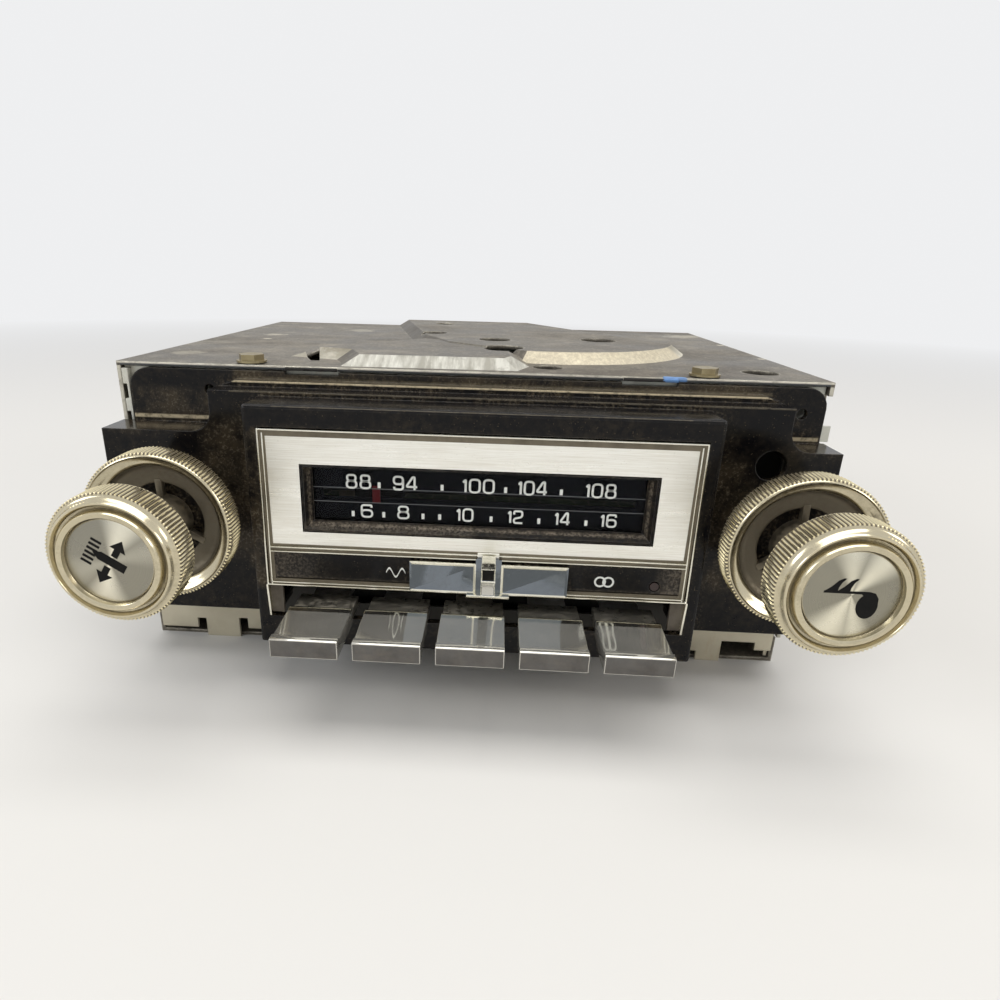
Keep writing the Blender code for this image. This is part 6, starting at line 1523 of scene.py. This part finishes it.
class RADIO_OT_dial(Operator):
    """Print the figures, ticks and lines of the dial, and paint the pointer"""

    bl_idname = "radio.dial"
    bl_label = "Dial print"

    def execute(self, context):
        relief = sizes().print_relief
        lens_low, lens_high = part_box("dial_lens")
        y = lens_low.y - relief / 2
        tall = sizes().figure_height
        figures = []
        for row, drop, height, weight in (
            (UPPER_FIGURES, 24.30, tall, 0.56 * MM), (LOWER_FIGURES, 31.80, tall * 0.94, 0.52 * MM),
        ):
            bottom = down(drop) - height / 2
            for count, (text, left, right) in enumerate(row):
                name, top = f"figure_{drop:.0f}_{count}", bottom + height
                figures.append(draw_number(name, text, left * MM, right * MM, bottom, top, y, weight, relief))
        for row, ticks, top, bottom in (("upper", UPPER_TICKS, 24.3, 25.75), ("lower", LOWER_TICKS, 31.9, 33.3)):
            for count, x in enumerate(ticks):
                low = ((x - 0.36) * MM, y - relief / 2, down(bottom))
                figures.append(block(f"{row}_tick_{count}", low, ((x + 0.36) * MM, y + relief / 2, down(top))))
        finish(unite("dial_figures", figures), finish_named("figures"), "case", "inner_black")
        lines = [
            block(
                f"dial_line_{count}", (lens_low.x + 1.2 * MM, y - relief / 3, down(drop + 0.08)),
                (lens_high.x - 1.2 * MM, y + relief / 3, down(drop - 0.08)),
            )
            for count, drop in enumerate((26.0, 29.6))
        ]
        finish(unite("dial_lines", lines), finish_named("dial line"), "case", "inner_black")
        low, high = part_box("dial_pointer")
        x = (low.x + high.x) / 2
        needle_low = (x - 0.95 * MM, low.y - 0.14 * MM, low.z + 0.3 * MM)
        needle = block("needle", needle_low, (x + 0.95 * MM, low.y - 0.02 * MM, high.z - 0.3 * MM))
        finish(needle, finish_named("pointer red"), "pointer", "inner_black")
        return {"FINISHED"}


def ring_outline(x, outer, inner, steps=36):
    """The outer and the inner circle of a ring, in millimetres."""
    angles = [2 * pi * step / steps for step in range(steps)]
    return [[(x + radius * cos(angle), radius * sin(angle)) for angle in angles] for radius in (outer, inner)]


def wave_outline(x, width, height, thickness, steps=32):
    """One and a half waves of a thick line, in millimetres."""
    upper, lower = [], []
    for step in range(steps + 1):
        along = step / steps
        level = height / 2 * sin(2 * pi * along * 1.5)
        upper.append((x + (along - 0.5) * width, level + thickness / 2))
        lower.append((x + (along - 0.5) * width, level - thickness / 2))
    return [upper + lower[::-1]]


class RADIO_OT_strip(Operator):
    """Print a plain wave and a pair of rings on the dark strip"""

    bl_idname = "radio.strip"
    bl_label = "Strip marks"

    def execute(self, context):
        relief = sizes().print_relief
        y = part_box("indicator_strip")[0].y - relief / 2
        place = Matrix.Translation((0, y, down(46.9))) @ FACING_FRONT
        marks = [
            flat_shape("wave_mark", wave_outline(-15.4, 4.8, 2.3, 0.55), relief, place),
            flat_shape("ring_mark_1", ring_outline(35.2, 1.45, 0.98), relief, place),
            flat_shape("ring_mark_2", ring_outline(37.2, 1.45, 0.98), relief * 1.1, place),
        ]
        finish(unite("strip_marks", marks), finish_named("figures"), "case", "inner_black")
        return {"FINISHED"}


BACKDROP = (0.86, 0.865, 0.875)
# Name, place, angles in degrees, width, watts, colour.
LAMPS = (
    ("overhead_softbox", (0.10, -0.15, 1.35), (8, 0, 0), 1.5, 13.0, (1.0, 0.98, 0.94)),
    ("left_softbox", (-1.25, -0.75, 0.75), (62, 0, -58), 0.8, 7.0, (0.96, 0.98, 1.0)),
    ("right_softbox", (1.30, -0.55, 0.60), (68, 0, 66), 0.7, 4.0, (1.0, 0.95, 0.88)),
)
# The photograph's camera, as fitted: where it stands and which way its picture runs.
CAMERA_PLACE = (0.007789, -0.243505, 0.106445)
PICTURE_RIGHT = (0.998, 0.0592, 0.0222)
PICTURE_UP = (-0.0415, 0.3494, 0.936)
CAMERA = {
    "sensor_width": 36, "lens": 24.076, "shift_x": 0.04096, "shift_y": 0.01987, "clip_start": 0.01, "clip_end": 50,
}


def seen_rays(sheet):
    """1 for rays from the camera, a shiny face or glass; 0 for rays that only light things."""
    rays = sheet.add("LightPath").outputs
    shiny = sheet.most(rays["Is Glossy Ray"], rays["Is Transmission Ray"])
    return sheet.most(rays["Is Camera Ray"], shiny)


class RADIO_OT_stage(Operator):
    """Set the floor, the soft lamps, the sky and the camera"""

    bl_idname = "radio.stage"
    bl_label = "Stage"

    def execute(self, context):
        scene = context.scene
        deselect()
        bpy.ops.mesh.primitive_plane_add(size=40, location=(0, 0, 0))
        floor = context.object
        floor.name = "studio_floor"
        settle(floor)
        made, sheet, place = new_finish(
            "studio paper", Roughness=0.9, Specular_IOR_Level=0.1, Base_Color=colours().floor
        )
        far = sheet.between(sheet.length(place), 0.30, 1.3)
        glow = sheet.add("Emission", Color=BACKDROP, Strength=1.0).outputs[0]
        shown = sheet.times(far, seen_rays(sheet))
        blend = sheet.add("MixShader", n0=shown, n1=sheet.shader.outputs[0], n2=glow).outputs[0]
        sheet.link(blend, made.node_tree.nodes["Material Output"].inputs["Surface"])
        floor.data.materials.append(made)
        for name, place, angles, size, power, tint in LAMPS:
            deselect()
            bpy.ops.object.light_add(type="AREA", location=place, rotation=[radians(a) for a in angles])
            lamp = context.object
            lamp.name = name
            lamp.data.shape = "RECTANGLE"
            lamp.data.size = size
            lamp.data.size_y = size * 0.6
            lamp.data.energy = power
            lamp.data.color = tint
        world = bpy.data.worlds.new("studio sky")
        scene.world = world
        world.use_nodes = True
        sheet = Sheet(world.node_tree)
        back = world.node_tree.nodes["Background"]
        back.inputs["Color"].default_value = (*BACKDROP, 1)
        sheet.link(sheet.between(seen_rays(sheet), 0.0, 1.0, 0.45, 1.0), back.inputs["Strength"])
        deselect()
        bpy.ops.object.camera_add()
        camera = context.object
        camera.name = "photo_camera"
        right = Vector(PICTURE_RIGHT).normalized()
        away = right.cross(Vector(PICTURE_UP).normalized()).normalized()
        axes = Matrix((right, away.cross(right), away)).transposed()
        camera.matrix_world = Matrix.Translation(CAMERA_PLACE) @ axes.to_4x4()
        for key, value in CAMERA.items():
            setattr(camera.data, key, value)
        scene.camera = camera
        scene.view_settings.view_transform = "Standard"
        return {"FINISHED"}


OPERATORS = (
    RADIO_OT_stage, RADIO_OT_finishes, RADIO_OT_knobs, RADIO_OT_symbols, RADIO_OT_rings, RADIO_OT_buttons,
    RADIO_OT_springs, RADIO_OT_bezel, RADIO_OT_slider, RADIO_OT_dial, RADIO_OT_strip,
)


class RADIO_PT_panel(Panel):
    bl_label = "Dash radio"
    bl_idname = "RADIO_PT_panel"
    bl_space_type = "VIEW_3D"
    bl_region_type = "UI"
    bl_category = "Radio"

    def draw(self, context):
        column = self.layout.column()
        for name in RadioSizes.__annotations__:
            column.prop(context.scene.radio_sizes, name)
        for name in RadioColours.__annotations__:
            column.prop(context.scene.radio_colours, name)
        for operator in OPERATORS:
            column.operator(operator.bl_idname)


CLASSES = (RadioSizes, RadioColours, *OPERATORS, RADIO_PT_panel)


def register():
    for one in CLASSES:
        bpy.utils.register_class(one)
    bpy.types.Scene.radio_sizes = PointerProperty(type=RadioSizes)
    bpy.types.Scene.radio_colours = PointerProperty(type=RadioColours)


def unregister():
    del bpy.types.Scene.radio_sizes
    del bpy.types.Scene.radio_colours
    for one in reversed(CLASSES):
        bpy.utils.unregister_class(one)


def main():
    register()
    for operator in OPERATORS:
        family, name = operator.bl_idname.split(".")
        getattr(getattr(bpy.ops, family), name)()
    deselect()


if __name__ == "__main__":
    main()
